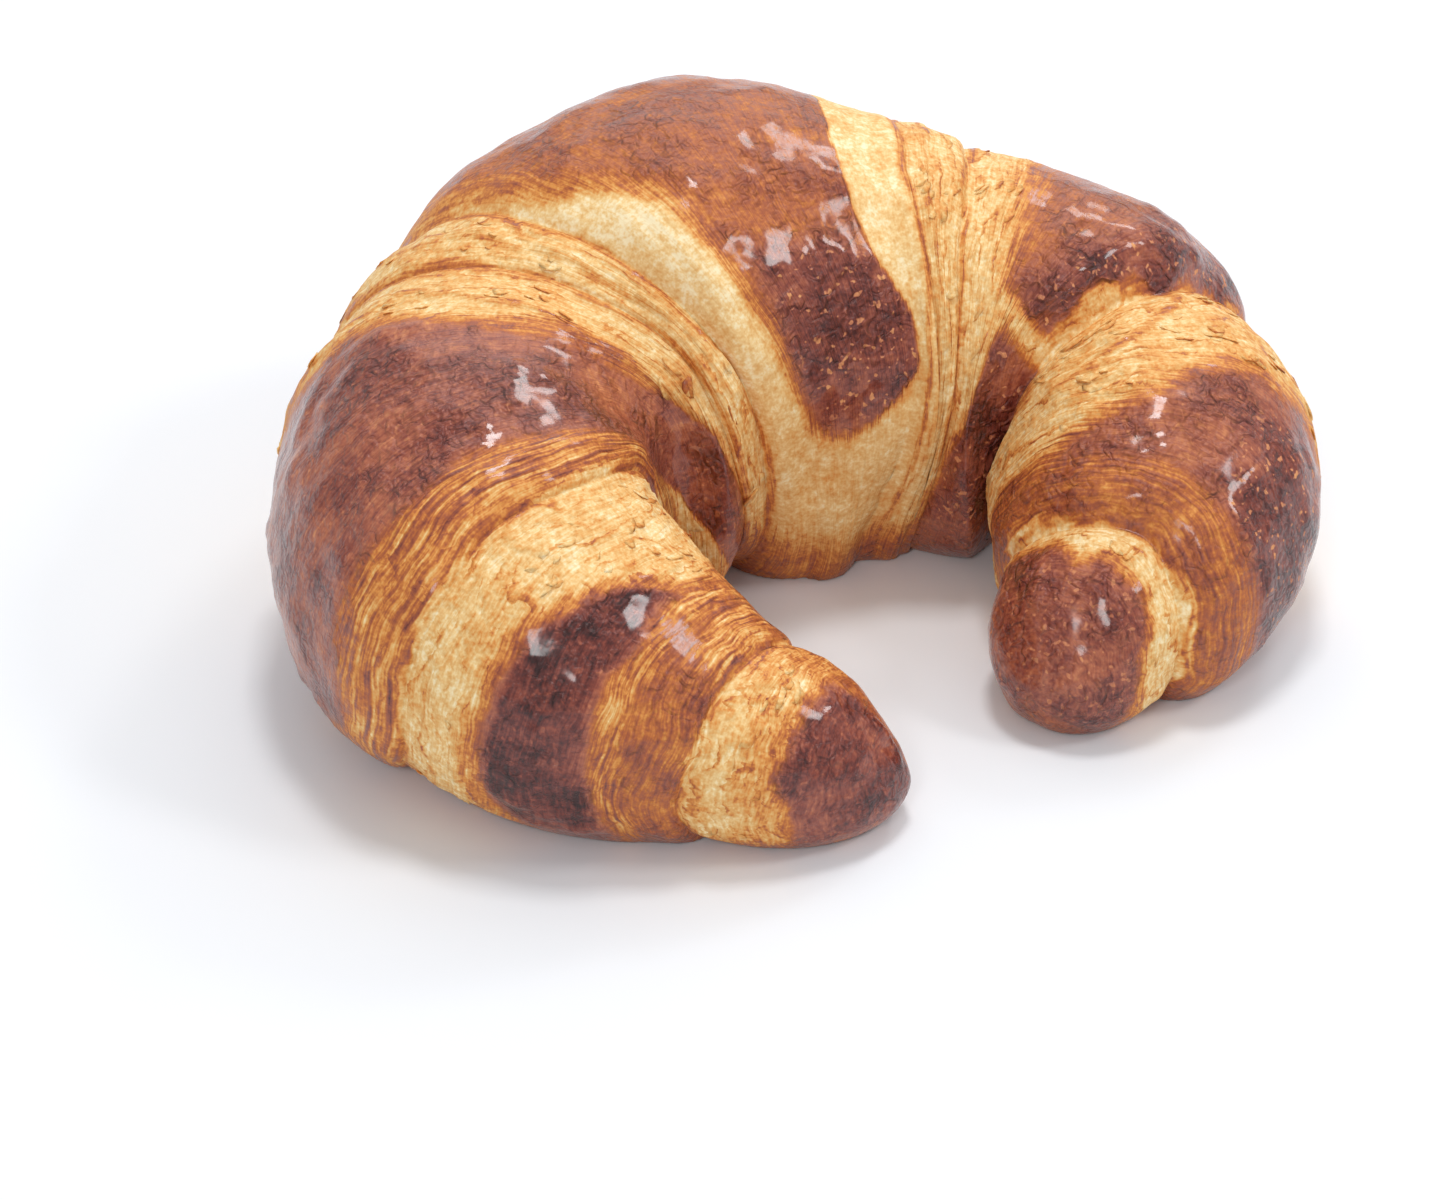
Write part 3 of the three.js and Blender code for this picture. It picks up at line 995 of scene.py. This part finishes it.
@dataclass(frozen=True)
class CrustFinish:
    """The colours of the bake, from pale dough to dark crust, and the glaze on it.

    The stops colour the dough and its browned edges, the film is the rosier crust of the brown areas.
    """

    name: str = "baked_crust"
    stops: tuple[tuple[float, tuple[float, float, float, float]], ...] = (
        (0.0, tone(250, 233, 192)),
        (0.12, tone(240, 206, 146)),
        (0.25, tone(227, 176, 107)),
        (0.37, tone(219, 147, 74)),
        (0.49, tone(192, 112, 54)),
        (0.61, tone(166, 88, 50)),
        (0.74, tone(140, 68, 46)),
        (0.88, tone(108, 48, 38)),
        (1.0, tone(70, 29, 27)),
    )
    film: tuple[tuple[float, tuple[float, float, float, float]], ...] = (
        (0.28, tone(228, 164, 108)),
        (0.48, tone(202, 132, 92)),
        (0.64, tone(172, 98, 70)),
        (0.78, tone(135, 65, 50)),
        (0.9, tone(97, 39, 33)),
        (1.0, tone(58, 21, 20)),
    )
    shades: tuple[Share, ...] = (
        Share("lines", flaky=0.28, cut=0.12, edge=0.35, brown=0.14),
        Share("fine", flaky=0.28, cut=0.25, edge=0.4, brown=0.3),
        Share("laminae", cut=0.17, edge=0.05),
        Share("sheet_rims", flaky=0.22, edge=0.08),
        Share("leaf_rims", flaky=0.14, edge=0.08),
        Share("cloud", always=0.35, brown=0.2),
        Share("crumb", always=0.4, brown=-0.15),
        Share("grit", always=0.35, brown=-0.15),
        # Painted shade: the brown crust is darkened in the troughs of the wrinkles.
        Share("crease_shade", brown=0.08),
        # Pale flecks on the brown crust; on the dark crust these lighter specks are painted glints.
        Share("specks_and_glints", brown=-0.1, dark=-0.32),
    )
    relief: tuple[Share, ...] = (
        Share("lines", flaky=0.22, face=0.08, edge=0.11, brown=0.08),
        Share("laminae", face=0.08, edge=0.02),
        Share("sheet_crests", flaky=0.1),
        Share("fine", brown=0.08),
        Share("grit", flaky=0.45, brown=0.2),
        Share("cloud", flaky=0.6, brown=1.3),
        Share("wrinkles", wrinkled=1.0),
    )
    thread_pitch: float = 0.01
    thread_waviness: float = 0.018
    sheet_pitch: float = 0.034
    leaf_pitch: float = 0.013
    crackle_scale: float = 560.0
    cloud_scale: float = 130.0
    grit_scale: float = 620.0
    rough_pale: float = 0.62
    rough_dark: float = 0.36
    rough_crumb: float = 0.3
    glaze: float = 0.62
    glaze_rough: float = 0.1
    refraction: float = 1.45
    shine: float = 0.3
    bump_mm: float = 1.0
    brown_band: tuple[float, float] = (0.42, 0.66)
    dark_band: tuple[float, float] = (0.68, 0.82)
    edge_bands: tuple[tuple[float, float], tuple[float, float]] = ((0.2, 0.38), (0.62, 0.5))
    film_band: tuple[float, float] = (0.56, 0.74)
    rough_band: tuple[float, float] = (0.25, 0.8)
    glaze_band: tuple[float, float] = (0.35, 0.75)
    wrinkle_band: tuple[float, float, float, float] = (-0.1, 0.12, 0.3, 1.1)
    cut_hidden: float = -0.95

    def make(self, threads: Any, torn: Any, crackle: Any) -> bpy.types.Material:
        """Builds the material.

        Args:
            threads: The group of dough threads.
            torn: The group of torn sheets.
            crackle: The group of crust crackle.

        Returns:
            The material.
        """
        material = bpy.data.materials.new(self.name)
        material.use_nodes = True
        material.node_tree.nodes.clear()
        graph = Graph(material.node_tree)
        bake, flaky, face, glint_zone = (graph.add("ShaderNodeAttribute", attribute_name=name).outputs["Fac"]
                                       for name in ("bake", "flaky", "face", "glint_zone"))
        patterns = self.lay_patterns(graph, threads, torn, crackle)
        brown = graph.between(bake, *self.brown_band)
        kinds = {
            "flaky": flaky,
            "face": face,
            "cut": graph.times(face, graph.math("MULTIPLY_ADD", brown, self.cut_hidden, 1.0)),
            "edge": graph.times(*(graph.between(bake, *band) for band in self.edge_bands)),
            "brown": brown,
            # The dark crust where the painted glints show.
            "dark": graph.times(graph.between(bake, *self.dark_band), glint_zone),
            "wrinkled": graph.times(brown, graph.between(patterns["cloud"], *self.wrinkle_band)),
        }
        value = graph.math("ADD", bake, self.weigh(graph, patterns, kinds, self.shades), clamp=True)
        colour = graph.blend(graph.between(bake, *self.film_band), graph.ramp(value, self.stops),
                             graph.ramp(value, self.film))
        roughness = graph.between(value, *self.rough_band, self.rough_pale, self.rough_dark)
        roughness = graph.math("ADD", roughness, graph.times(patterns["crumb"], self.rough_crumb), clamp=True)
        coat = graph.times(graph.between(value, *self.glaze_band), self.glaze)
        bump = graph.add("ShaderNodeBump", {
            "Height": self.weigh(graph, patterns, kinds, self.relief), "Strength": 1.0,
            "Distance": self.bump_mm * MM})
        shader = graph.add("ShaderNodeBsdfPrincipled", {
            "Base Color": colour, "Roughness": roughness, "Coat Weight": coat,
            "Coat Roughness": self.glaze_rough, "Normal": bump.outputs[0], "IOR": self.refraction,
            "Specular IOR Level": self.shine})
        out = graph.add("ShaderNodeOutputMaterial")
        graph.put(out.inputs[0], shader.outputs[0])
        return material

    def lay_patterns(self, graph: Graph, threads: Any, torn: Any, crackle: Any) -> dict[str, Any]:
        """Places the groups and the plain noises in the material.

        Args:
            graph: The material's graph.
            threads: The group of dough threads.
            torn: The group of torn sheets.
            crackle: The group of crust crackle.

        Returns:
            The patterns by name, most of them brought to about zero in the mean.
        """
        def placed(tree: Any, inputs: dict[str, Any]) -> Any:
            """The outputs of a group with its own values."""
            return graph.add("ShaderNodeGroup", inputs, node_tree=tree).outputs

        flow = graph.add("ShaderNodeUVMap", uv_map="flow").outputs[0]
        place = graph.add("ShaderNodeTexCoord").outputs["Object"]
        grain = placed(threads, {"Flow": flow, "Pitch": self.thread_pitch, "Waviness": self.thread_waviness})
        sheets = placed(torn, {"Flow": flow, "Pitch": self.sheet_pitch})
        leaves = placed(torn, {"Flow": flow, "Pitch": self.leaf_pitch})
        glaze = placed(crackle, {"Place": place, "Scale": self.crackle_scale})
        return {
            "lines": graph.minus(grain["Lines"], 0.5),
            "fine": graph.minus(grain["Threads"], 0.5),
            "laminae": graph.minus(grain["Laminae"], 0.28),
            "sheet_rims": sheets["Rim"],
            "sheet_crests": sheets["Crest"],
            "leaf_rims": leaves["Rim"],
            "wrinkles": glaze["Wrinkle"],
            # Painted shade, strongest where the wrinkle relief is lowest.
            "crease_shade": graph.minus(0.5, glaze["Wrinkle"]),
            # Pale flecks, and painted glints on the dark crust.
            "specks_and_glints": glaze["Speck_Glint"],
            "crumb": graph.minus(glaze["Crumb"], 0.5),
            "cloud": graph.minus(graph.noise(place, self.cloud_scale, 3.0, 0.6), 0.5),
            "grit": graph.minus(graph.noise(place, self.grit_scale, 1.0, 0.6), 0.5),
        }

    @staticmethod
    def weigh(graph: Graph, patterns: dict[str, Any], kinds: dict[str, Any], shares: Sequence[Share]) -> Any:
        """Adds the patterns up, each as strong as its share says.

        Args:
            graph: The material's graph.
            patterns: The patterns by name.
            kinds: Masks of the kinds of crust by name.
            shares: How strongly each pattern shows on each kind.

        Returns:
            The sum.
        """
        terms = []
        for share in shares:
            strengths = [share.always] if share.always else []
            strengths += [graph.times(mask, getattr(share, kind)) for kind, mask in kinds.items()
                          if getattr(share, kind)]
            terms.append(graph.times(patterns[share.pattern], graph.plus(*strengths)))
        return graph.plus(*terms)


# The croissant


def crust_relief(material: bpy.types.Material) -> Any:
    """The geometry tree that raises lumps, blisters and sheets of dough on the smooth skin.

    Args:
        material: What the skin is dressed with.

    Returns:
        The tree.
    """
    graph, given, made = new_group(
        "crust_relief", "GeometryNodeTree",
        {"Skin": Socket.GEOMETRY, "Lump Height": 0.0008, "Lump Size": 0.012, "Blister Height": 0.0004,
         "Blister Size": 0.0035, "Sheet Height": 0.0006, "Sheet Pitch": 0.0026, "Seed": 3.0},
        {"Skin": Socket.GEOMETRY})
    sway_size, sway_sheets, thinning_size, patch_size = 0.006, 3.2, 0.008, 0.009
    dome_band, patch_band, baked_band, lip_band = (0.75, 0.1), (-0.05, 0.18), (0.5, 0.8), (1.0, 0.86)
    thinning_band, sheet_power = (-0.25, 0.3, 0.25, 1.0), 1.5
    sizes, seed = given.outputs, given.outputs["Seed"]
    place = graph.add("GeometryNodeInputPosition").outputs[0]
    offset = graph.joined(seed, seed, seed)

    def cells(vector: Any, size: Any) -> Any:
        """A place counted in cells of a size and shifted by the seed."""
        return graph.vector("ADD", graph.vector("SCALE", vector, graph.math("DIVIDE", 1.0, size)), offset)

    def noise(vector: Any, size: Any, detail: float) -> Any:
        """Noise between -0.5 and 0.5 whose cells have a size."""
        return graph.minus(graph.noise(cells(vector, size), 1.0, detail), 0.5)

    bake, flaky, hold, ledge = (graph.stored(name) for name in ("bake", "flaky", "hold", "ledge"))
    lumps = graph.times(noise(place, sizes["Lump Size"], 2.0), graph.times(sizes["Lump Height"], 2.0))

    cell = graph.add("ShaderNodeTexVoronoi", {
        "Vector": cells(place, sizes["Blister Size"]), "Scale": 1.0, "Smoothness": 0.5}, feature="SMOOTH_F1")
    dome = graph.between(cell.outputs["Distance"], *dome_band)
    patchy = graph.between(noise(place, patch_size, 1.0), *patch_band)
    blisters = graph.times(graph.times(dome, sizes["Blister Height"]),
                           graph.times(patchy, graph.between(bake, *baked_band)))

    flow = graph.stored("unrolled", "FLOAT_VECTOR")
    sway = graph.times(noise(graph.stretched(flow, (1.0, 0.35, 0.0)), sway_size, 3.0), sway_sheets)
    pitches = graph.math("DIVIDE", graph.parts(flow)[0], sizes["Sheet Pitch"])
    slide = graph.math("FRACT", graph.plus(pitches, sway))
    edge = graph.times(graph.math("POWER", slide, sheet_power), graph.between(slide, *lip_band))
    thinning = noise(graph.stretched(flow, (1.0, 0.4, 0.0)), thinning_size, 2.0)
    crest = graph.times(edge, graph.between(thinning, *thinning_band))
    sheets = graph.times(crest, graph.times(flaky, sizes["Sheet Height"]))

    raised = graph.times(graph.plus(graph.plus(lumps, blisters), graph.plus(sheets, ledge)), hold)
    normal = graph.add("GeometryNodeInputNormal").outputs[0]
    moved = graph.add("GeometryNodeSetPosition", {
        "Geometry": given.outputs["Skin"], "Offset": graph.vector("SCALE", normal, raised)})
    whole = graph.add("GeometryNodeRealizeInstances", {0: moved.outputs[0]})
    dressed = graph.add("GeometryNodeSetMaterial", {"Geometry": whole.outputs[0], "Material": material})
    graph.put(made.inputs[0], dressed.outputs[0])
    return graph.tree


def loose_flakes(material: bpy.types.Material) -> Any:
    """The geometry tree that scatters small curled flakes over the pale dough of a skin.

    Args:
        material: What the flakes are dressed with.

    Returns:
        The tree. Its result holds the flakes and not the skin.
    """
    graph, given, made = new_group(
        "loose_flakes", "GeometryNodeTree",
        {"Skin": Socket.GEOMETRY, "Density": 60000.0, "Width": 0.0013, "Length": 0.0024, "Curl": 0.0004,
         "Seed": 5},
        {"Flakes": Socket.GEOMETRY})
    drop, thickness, taper = -0.4, 0.5, -0.5
    clumps_per_m, frays_per_m, fray_reach = 95.0, 900.0, 0.0006
    least_turn, most_turn = (-0.06, -0.08, -0.5), (0.06, 0.03, 0.5)
    least_size, most_size = (0.5, 0.5, 0.3), (1.5, 1.5, 1.6)
    most_bake, rim_bake, flow_per_m = 0.22, 0.12, 10.0
    clump_band, hold_band, flaky_band = (0.42, 0.62), (0.6, 1.0), (0.4, 1.0)
    sizes, seed = given.outputs, given.outputs["Seed"]

    def keep(geometry: Any, name: str, value: Any, data_type: str = "FLOAT", domain: str = "POINT") -> Any:
        """Geometry with a named attribute stored on it."""
        inputs = {"Geometry": geometry, "Name": name, "Value": value}
        node = graph.add("GeometryNodeStoreNamedAttribute", inputs, data_type=data_type, domain=domain)
        return node.outputs[0]

    def vary(low: tuple[float, float, float], high: tuple[float, float, float], step: int) -> Any:
        """A random vector for each flake."""
        return graph.add("FunctionNodeRandomValue", {0: low, 1: high, 8: graph.plus(seed, step)},
                         data_type="FLOAT_VECTOR").outputs[0]

    place = graph.add("GeometryNodeInputPosition").outputs[0]
    x, y, z = graph.parts(place)
    block = graph.add("GeometryNodeMeshCube", {"Vertices X": 4, "Vertices Y": 3, "Vertices Z": 2})
    rim = graph.plus(x, 0.5)
    bow = graph.times(rim, rim)
    narrow = graph.times(y, graph.math("MULTIPLY_ADD", bow, taper, 1.0))
    rise = graph.plus(bow, drop, graph.times(z, thickness))
    curled = graph.add("GeometryNodeSetPosition", {
        "Geometry": block.outputs[0], "Position": graph.joined(x, narrow, rise)})
    flake = keep(curled.outputs[0], "rim", rim)

    clumps = graph.noise(graph.vector("SCALE", place, clumps_per_m), 1.0, 2.0)
    thick = graph.times(graph.between(clumps, *clump_band), graph.between(graph.stored("hold"), *hold_band))
    loose = graph.times(graph.between(graph.stored("flaky"), *flaky_band), thick)
    density = graph.times(sizes["Density"], loose)
    spread = graph.add("GeometryNodeDistributePointsOnFaces", {
        "Mesh": sizes["Skin"], "Density": density, "Seed": seed}, distribute_method="RANDOM")
    stood = graph.add("FunctionNodeAlignRotationToVector", {"Vector": spread.outputs["Normal"]}, axis="Z")
    turned = graph.add("FunctionNodeAlignRotationToVector", {
        "Rotation": stood.outputs[0], "Vector": graph.stored("outward", "FLOAT_VECTOR")}, axis="X",
        pivot_axis="Z")
    tilt = graph.add("FunctionNodeEulerToRotation", {0: vary(least_turn, most_turn, 1)})
    rotation = graph.add("FunctionNodeRotateRotation", {
        "Rotation": turned.outputs[0], "Rotate By": tilt.outputs[0]}, rotation_space="LOCAL")
    size = graph.joined(sizes["Width"], sizes["Length"], sizes["Curl"])
    scale = graph.vector("MULTIPLY", size, vary(least_size, most_size, 2))
    laid = graph.add("GeometryNodeInstanceOnPoints", {
        "Points": spread.outputs["Points"], "Instance": flake, "Rotation": rotation.outputs[0],
        "Scale": scale})
    whole = graph.add("GeometryNodeRealizeInstances", {0: laid.outputs[0]})

    fray = graph.add("ShaderNodeTexNoise", {"Vector": place, "Scale": frays_per_m, "Detail": 2.0})
    swirl = graph.vector("SUBTRACT", fray.outputs["Color"], (0.5, 0.5, 0.5))
    moved = graph.vector("SCALE", swirl, fray_reach)
    torn = graph.add("GeometryNodeSetPosition", {"Geometry": whole.outputs[0], "Offset": moved})
    edge = graph.math("POWER", graph.stored("rim"), 2.0)
    pale = graph.math("MINIMUM", graph.stored("bake"), most_bake)
    browned = keep(torn.outputs[0], "bake", graph.math("MULTIPLY_ADD", edge, rim_bake, pale))
    flow = graph.vector("SCALE", graph.stored("unrolled", "FLOAT_VECTOR"), flow_per_m)
    mapped = keep(browned, "flow", flow, "FLOAT2", "CORNER")
    dressed = graph.add("GeometryNodeSetMaterial", {"Geometry": mapped, "Material": material})
    graph.put(made.inputs[0], dressed.outputs[0])
    return graph.tree


@dataclass
class Crust:
    """The whole skin of the croissant: the rolled form, its bake and its relief."""

    roll: Roll = field(default_factory=Roll)
    browning: Browning = field(default_factory=Browning)
    finish: CrustFinish = field(default_factory=CrustFinish)
    columns: int = 168
    rows_per_mm: float = 1.87
    face_rows_per_mm: float = 3.2
    mean_radius: float = 26
    lump_height: float = 1.2
    lump_size: float = 12
    blister_height: float = 0.6
    blister_size: float = 4.2
    sheet_height: float = 0.6
    sheet_pitch: float = 3.8
    seed: float = 3.0
    flaky_bake: tuple[float, float] = (0.25, 0.6)
    crown_calm: float = 0.75
    floor_hold: tuple[float, float] = (0, 5)
    foot_hold: tuple[float, float] = (-0.6, 2.2)
    # Where along the roll the painted glints on the dark crust fade in, in mm.
    glint_zone_from: tuple[float, float] = (-40, -20)

    def build(self) -> bpy.types.Object:
        """Makes the skin, raises its relief and dresses it.

        Returns:
            The finished piece.
        """
        rows = self.roll.rows(self.face_rows_per_mm, self.rows_per_mm, True)
        angle, along, points = self.roll.skin(rows, self.columns)
        points = (points - self.roll.middle()) * MM
        mesh = self.knit(points)
        self.note(mesh, rows, angle, along, points)
        piece = bpy.data.objects.new("baked_croissant", mesh)
        bpy.context.scene.collection.objects.link(piece)
        material = self.finish.make(fibre_group(), torn_group(), crackle_group())
        mesh.materials.append(material)
        self.raise_relief(piece, material)
        log.info("crust: %d rows, %d faces", len(rows), len(piece.data.polygons))
        return piece

    def knit(self, points: np.ndarray) -> bpy.types.Mesh:
        """Joins rows of points into one closed mesh whose first and last row are its poles.

        Args:
            points: Rows of points, in metres.

        Returns:
            The mesh.
        """
        count, columns = points.shape[:2]
        inner = count - 2
        vertices = np.concatenate([points[:1, 0], points[1:-1].reshape(-1, 3), points[-1:, 0]])
        ring = np.arange(columns)
        after = (ring + 1) % columns
        base = 1 + np.arange(inner - 1)[:, None] * columns
        corners = [base + ring, base + columns + ring, base + columns + after, base + after]
        quads = np.stack(corners, -1).reshape(-1, 4)
        first = [(0, 1 + int(j), 1 + int(k)) for j, k in zip(ring, after)]
        start = 1 + (inner - 1) * columns
        last = [(len(vertices) - 1, start + int(k), start + int(j)) for j, k in zip(ring, after)]
        mesh = bpy.data.meshes.new("baked_croissant")
        mesh.from_pydata(vertices.tolist(), [], quads.tolist() + first + last)
        mesh.update()
        volume = sum(f.center.dot(f.normal) * f.area for f in mesh.polygons)
        if volume < 0:
            mesh.flip_normals()
        mesh.shade_smooth()
        return mesh

    def note(self, mesh: bpy.types.Mesh, rows: list[Row], angle: np.ndarray, along: np.ndarray,
             points: np.ndarray) -> None:
        """Stores what the finish and the relief read.

        The numbers are the bake, the flakiness, the cut faces, where the painted glints may show, how far the
        relief may rise and the ledges. The vectors are the place on the unrolled skin and the way to the
        nearer tip.
        The UV map is the flow map.

        Args:
            mesh: The mesh of the skin.
            rows: Its rows.
            angle: The angle of each column.
            along: The place of each point along the centre line, in mm.
            points: The points in metres.
        """
        bake, ledges = self.browning.bake(along, angle)
        face = self.roll.near_face(along, angle)
        crown = np.array([row.ring.name == "crown" for row in rows])[:, None]
        flaky = (1 - smooth(*self.flaky_bake, bake)) * (1 - self.crown_calm * crown)
        hold = smooth(*self.floor_hold, points[..., 2] / MM)
        hold = hold * smooth(*self.foot_hold, self.roll.from_feet(along, angle))
        across = along[:, int(np.argmin(np.abs(angle)))]
        round_mm = angle * self.mean_radius
        # The glint zone is where the painted glints of the dark crust may show.
        numbers = {"bake": bake, "flaky": flaky, "face": face, "glint_zone": smooth(*self.glint_zone_from, along),
                   "hold": hold, "ledge": ledges * MM}
        for name, values in numbers.items():
            self.store(mesh, name, values)
        unrolled = np.zeros(along.shape + (3,))
        unrolled[..., 0] = across[:, None] * MM
        unrolled[..., 1] = round_mm[None, :] * MM
        outward = np.gradient(points, axis=0) * np.sign(along)[..., None]
        outward /= np.maximum(np.linalg.norm(outward, axis=-1, keepdims=True), 1e-9)
        for name, values in (("unrolled", unrolled), ("outward", outward)):
            layer = mesh.attributes.new(name, "FLOAT_VECTOR", "POINT")
            layer.data.foreach_set("vector", self.per_vertex(values).ravel())
        self.lay_map(mesh, across, round_mm)

    @staticmethod
    def per_vertex(values: np.ndarray) -> np.ndarray:
        """Values for rows of points as values for the mesh's vertices."""
        tail = values.shape[2:]
        return np.concatenate([values[:1, 0], values[1:-1].reshape((-1,) + tail), values[-1:, 0]])

    def store(self, mesh: bpy.types.Mesh, name: str, values: np.ndarray) -> None:
        """Stores one number for each vertex under a name."""
        mesh.attributes.new(name, "FLOAT", "POINT").data.foreach_set("value", self.per_vertex(values).ravel())

    def lay_map(self, mesh: bpy.types.Mesh, across: np.ndarray, round_mm: np.ndarray) -> None:
        """Lays the UV map called flow: decimetres along the roll, and round it.

        Args:
            mesh: The mesh of the skin.
            across: The place of each row at the ridge, in mm.
            round_mm: The place of each column round the body, in mm.
        """
        layer = mesh.uv_layers.new(name="flow")
        corner_vertex = np.empty(len(mesh.loops), int)
        mesh.loops.foreach_get("vertex_index", corner_vertex)
        inner = corner_vertex - 1
        row = np.clip(inner // self.columns + 1, 0, len(across) - 1)
        row[corner_vertex == 0] = 0
        row[corner_vertex == len(mesh.vertices) - 1] = len(across) - 1
        column = inner % self.columns
        place = round_mm[column]
        totals = np.empty(len(mesh.polygons), int)
        mesh.polygons.foreach_get("loop_total", totals)
        face_of = np.repeat(np.arange(len(totals)), totals)
        top = np.zeros(len(totals), int)
        np.maximum.at(top, face_of, column)
        lap = 2 * math.pi * self.mean_radius
        place = np.where((top[face_of] == self.columns - 1) & (column == 0), place + lap, place)
        layer.data.foreach_set("uv", (np.stack([across[row], place], -1) / DECIMETRE).ravel())

    def raise_relief(self, piece: bpy.types.Object, material: bpy.types.Material) -> None:
        """Runs the relief tree on the skin and keeps the result as a plain mesh.

        Args:
            piece: The skin.
            material: What it is dressed with.
        """
        sizes = {"Lump Height": self.lump_height * MM, "Lump Size": self.lump_size * MM,
                 "Blister Height": self.blister_height * MM, "Blister Size": self.blister_size * MM,
                 "Sheet Height": self.sheet_height * MM, "Sheet Pitch": self.sheet_pitch * MM,
                 "Seed": self.seed}
        apply_tree(piece, crust_relief(material), sizes)


@dataclass
class Flakes:
    """Small curled flakes of dough that have come loose from the pale areas of the crust."""

    per_square_cm: float = 8.0
    width: float = 1.1
    length: float = 2.6
    curl: float = 0.24
    seed: int = 5

    def build(self, skin: bpy.types.Object) -> bpy.types.Object:
        """Scatters the flakes over a finished skin.

        Args:
            skin: The skin, with its bake, flakiness and directions stored on it.

        Returns:
            The flakes, as one piece.
        """
        piece = bpy.data.objects.new("loose_flakes", skin.data.copy())
        piece.data.name = "loose_flakes"
        bpy.context.scene.collection.objects.link(piece)
        apply_tree(piece, loose_flakes(skin.data.materials[0]), {
            "Density": self.per_square_cm * SQUARE_CM_IN_M2, "Width": self.width * MM,
            "Length": self.length * MM, "Curl": self.curl * MM, "Seed": self.seed})
        log.info("flakes: %d faces", len(piece.data.polygons))
        return piece


def apply_tree(piece: bpy.types.Object, tree: Any, sizes: dict[str, float]) -> None:
    """Runs a geometry tree on a piece and leaves its result as the piece's plain mesh.

    Args:
        piece: The piece.
        tree: The geometry tree.
        sizes: Values for the tree's named inputs.
    """
    modifier = piece.modifiers.new(tree.name, "NODES")
    modifier.node_group = tree
    sockets = {item.name: item.identifier for item in tree.interface.items_tree if item.in_out == "INPUT"}
    for name, value in sizes.items():
        modifier[sockets[name]] = value
    graph = bpy.context.evaluated_depsgraph_get()
    result = bpy.data.meshes.new_from_object(piece.evaluated_get(graph), preserve_all_data_layers=True,
                                             depsgraph=graph)
    piece.modifiers.remove(modifier)
    old = piece.data
    piece.data = result
    name = old.name
    bpy.data.meshes.remove(old)
    result.name = name
    result.shade_smooth()


# Floor, light and camera


@dataclass(frozen=True)
class Lamp:
    """A square soft lamp that points at the croissant: its place and side in metres, its power in watts."""

    name: str
    place: tuple[float, float, float]
    size: float
    power: float

    def hang(self) -> None:
        """Hangs the lamp in the scene."""
        data = bpy.data.lights.new(self.name, "AREA")
        data.size = self.size
        data.energy = self.power
        lamp = bpy.data.objects.new(self.name, data)
        lamp.location = self.place
        lamp.rotation_euler = (-Vector(self.place)).to_track_quat("-Z", "Y").to_euler()
        bpy.context.scene.collection.objects.link(lamp)


@dataclass
class Studio:
    """The pale floor, the soft light and the camera."""

    turn: float = -20.6
    elevation: float = 35.0
    distance: float = 0.65
    target: tuple[float, float, float] = (-0.0079, 0.001, 0.0)
    lens: float = 119.4
    sensor: float = 36
    sky: float = 0.535
    floor_paint: tuple[float, float, float, float] = (0.84, 0.864, 0.9, 1)
    floor_reach: float = 6.0
    floor_drop: float = 0.0002
    lamps: tuple[Lamp, ...] = (
        Lamp("overhead", (0.08, 0.12, 1.0), 0.2, 3.1),
        Lamp("back", (0.3, 0.75, 0.8), 1.2, 3.4),
        Lamp("right", (0.62, 0.38, 0.68), 0.17, 1.0),
        Lamp("front_left", (-0.44, -0.67, 0.61), 0.2, 1.7),
        Lamp("front_right", (0.62, -0.36, 0.7), 0.19, 1.7),
    )

    def build(self) -> None:
        """Makes the floor, the lamps and the camera."""
        self.lay_floor()
        for lamp in self.lamps:
            lamp.hang()
        world = bpy.data.worlds.new("studio")
        bpy.context.scene.world = world
        world.use_nodes = True
        background = world.node_tree.nodes["Background"]
        background.inputs[0].default_value = (1.0, 1.0, 1.0, 1.0)
        background.inputs[1].default_value = self.sky
        bpy.context.scene.view_settings.view_transform = "Standard"
        self.place_camera()

    def lay_floor(self) -> None:
        """Lays a wide pale floor under the croissant."""
        mesh = bpy.data.meshes.new("floor")
        far = self.floor_reach
        mesh.from_pydata([(-far, -far, 0), (far, -far, 0), (far, far, 0), (-far, far, 0)], [], [(0, 1, 2, 3)])
        floor = bpy.data.objects.new("floor", mesh)
        floor.location.z = -self.floor_drop
        bpy.context.scene.collection.objects.link(floor)
        material = bpy.data.materials.new("floor_white")
        material.use_nodes = True
        nodes = material.node_tree.nodes
        nodes.remove(nodes["Principled BSDF"])
        graph = Graph(material.node_tree)
        paint = graph.add("ShaderNodeBsdfDiffuse", {"Color": self.floor_paint})
        graph.put(nodes["Material Output"].inputs[0], paint.outputs[0])
        mesh.materials.append(material)

    def place_camera(self) -> None:
        """Sets the camera at the photograph's angle."""
        turn, rise = math.radians(self.turn), math.radians(self.elevation)
        back = Vector((math.sin(turn) * math.cos(rise), -math.cos(turn) * math.cos(rise), math.sin(rise)))
        data = bpy.data.cameras.new("camera")
        data.lens = self.lens
        data.sensor_width = self.sensor
        camera = bpy.data.objects.new("camera", data)
        camera.location = Vector(self.target) + back * self.distance
        camera.rotation_euler = (-back).to_track_quat("-Z", "Y").to_euler()
        bpy.context.scene.collection.objects.link(camera)
        bpy.context.scene.camera = camera


def main() -> None:
    """Builds the studio, the croissant and its loose flakes, hangs both on the root body and hides the
    imported part.
    """
    logging.basicConfig(level=logging.INFO, format="%(name)s: %(message)s")
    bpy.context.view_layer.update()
    Studio().build()
    crust = Crust().build()
    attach(crust, BODY)
    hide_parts(NODE)
    flakes = Flakes().build(crust)
    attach(flakes, BODY)
    for piece in (crust, flakes):
        log.info("piece %s rides on %s", piece.name, BODY)


if __name__ == "__main__":
    main()
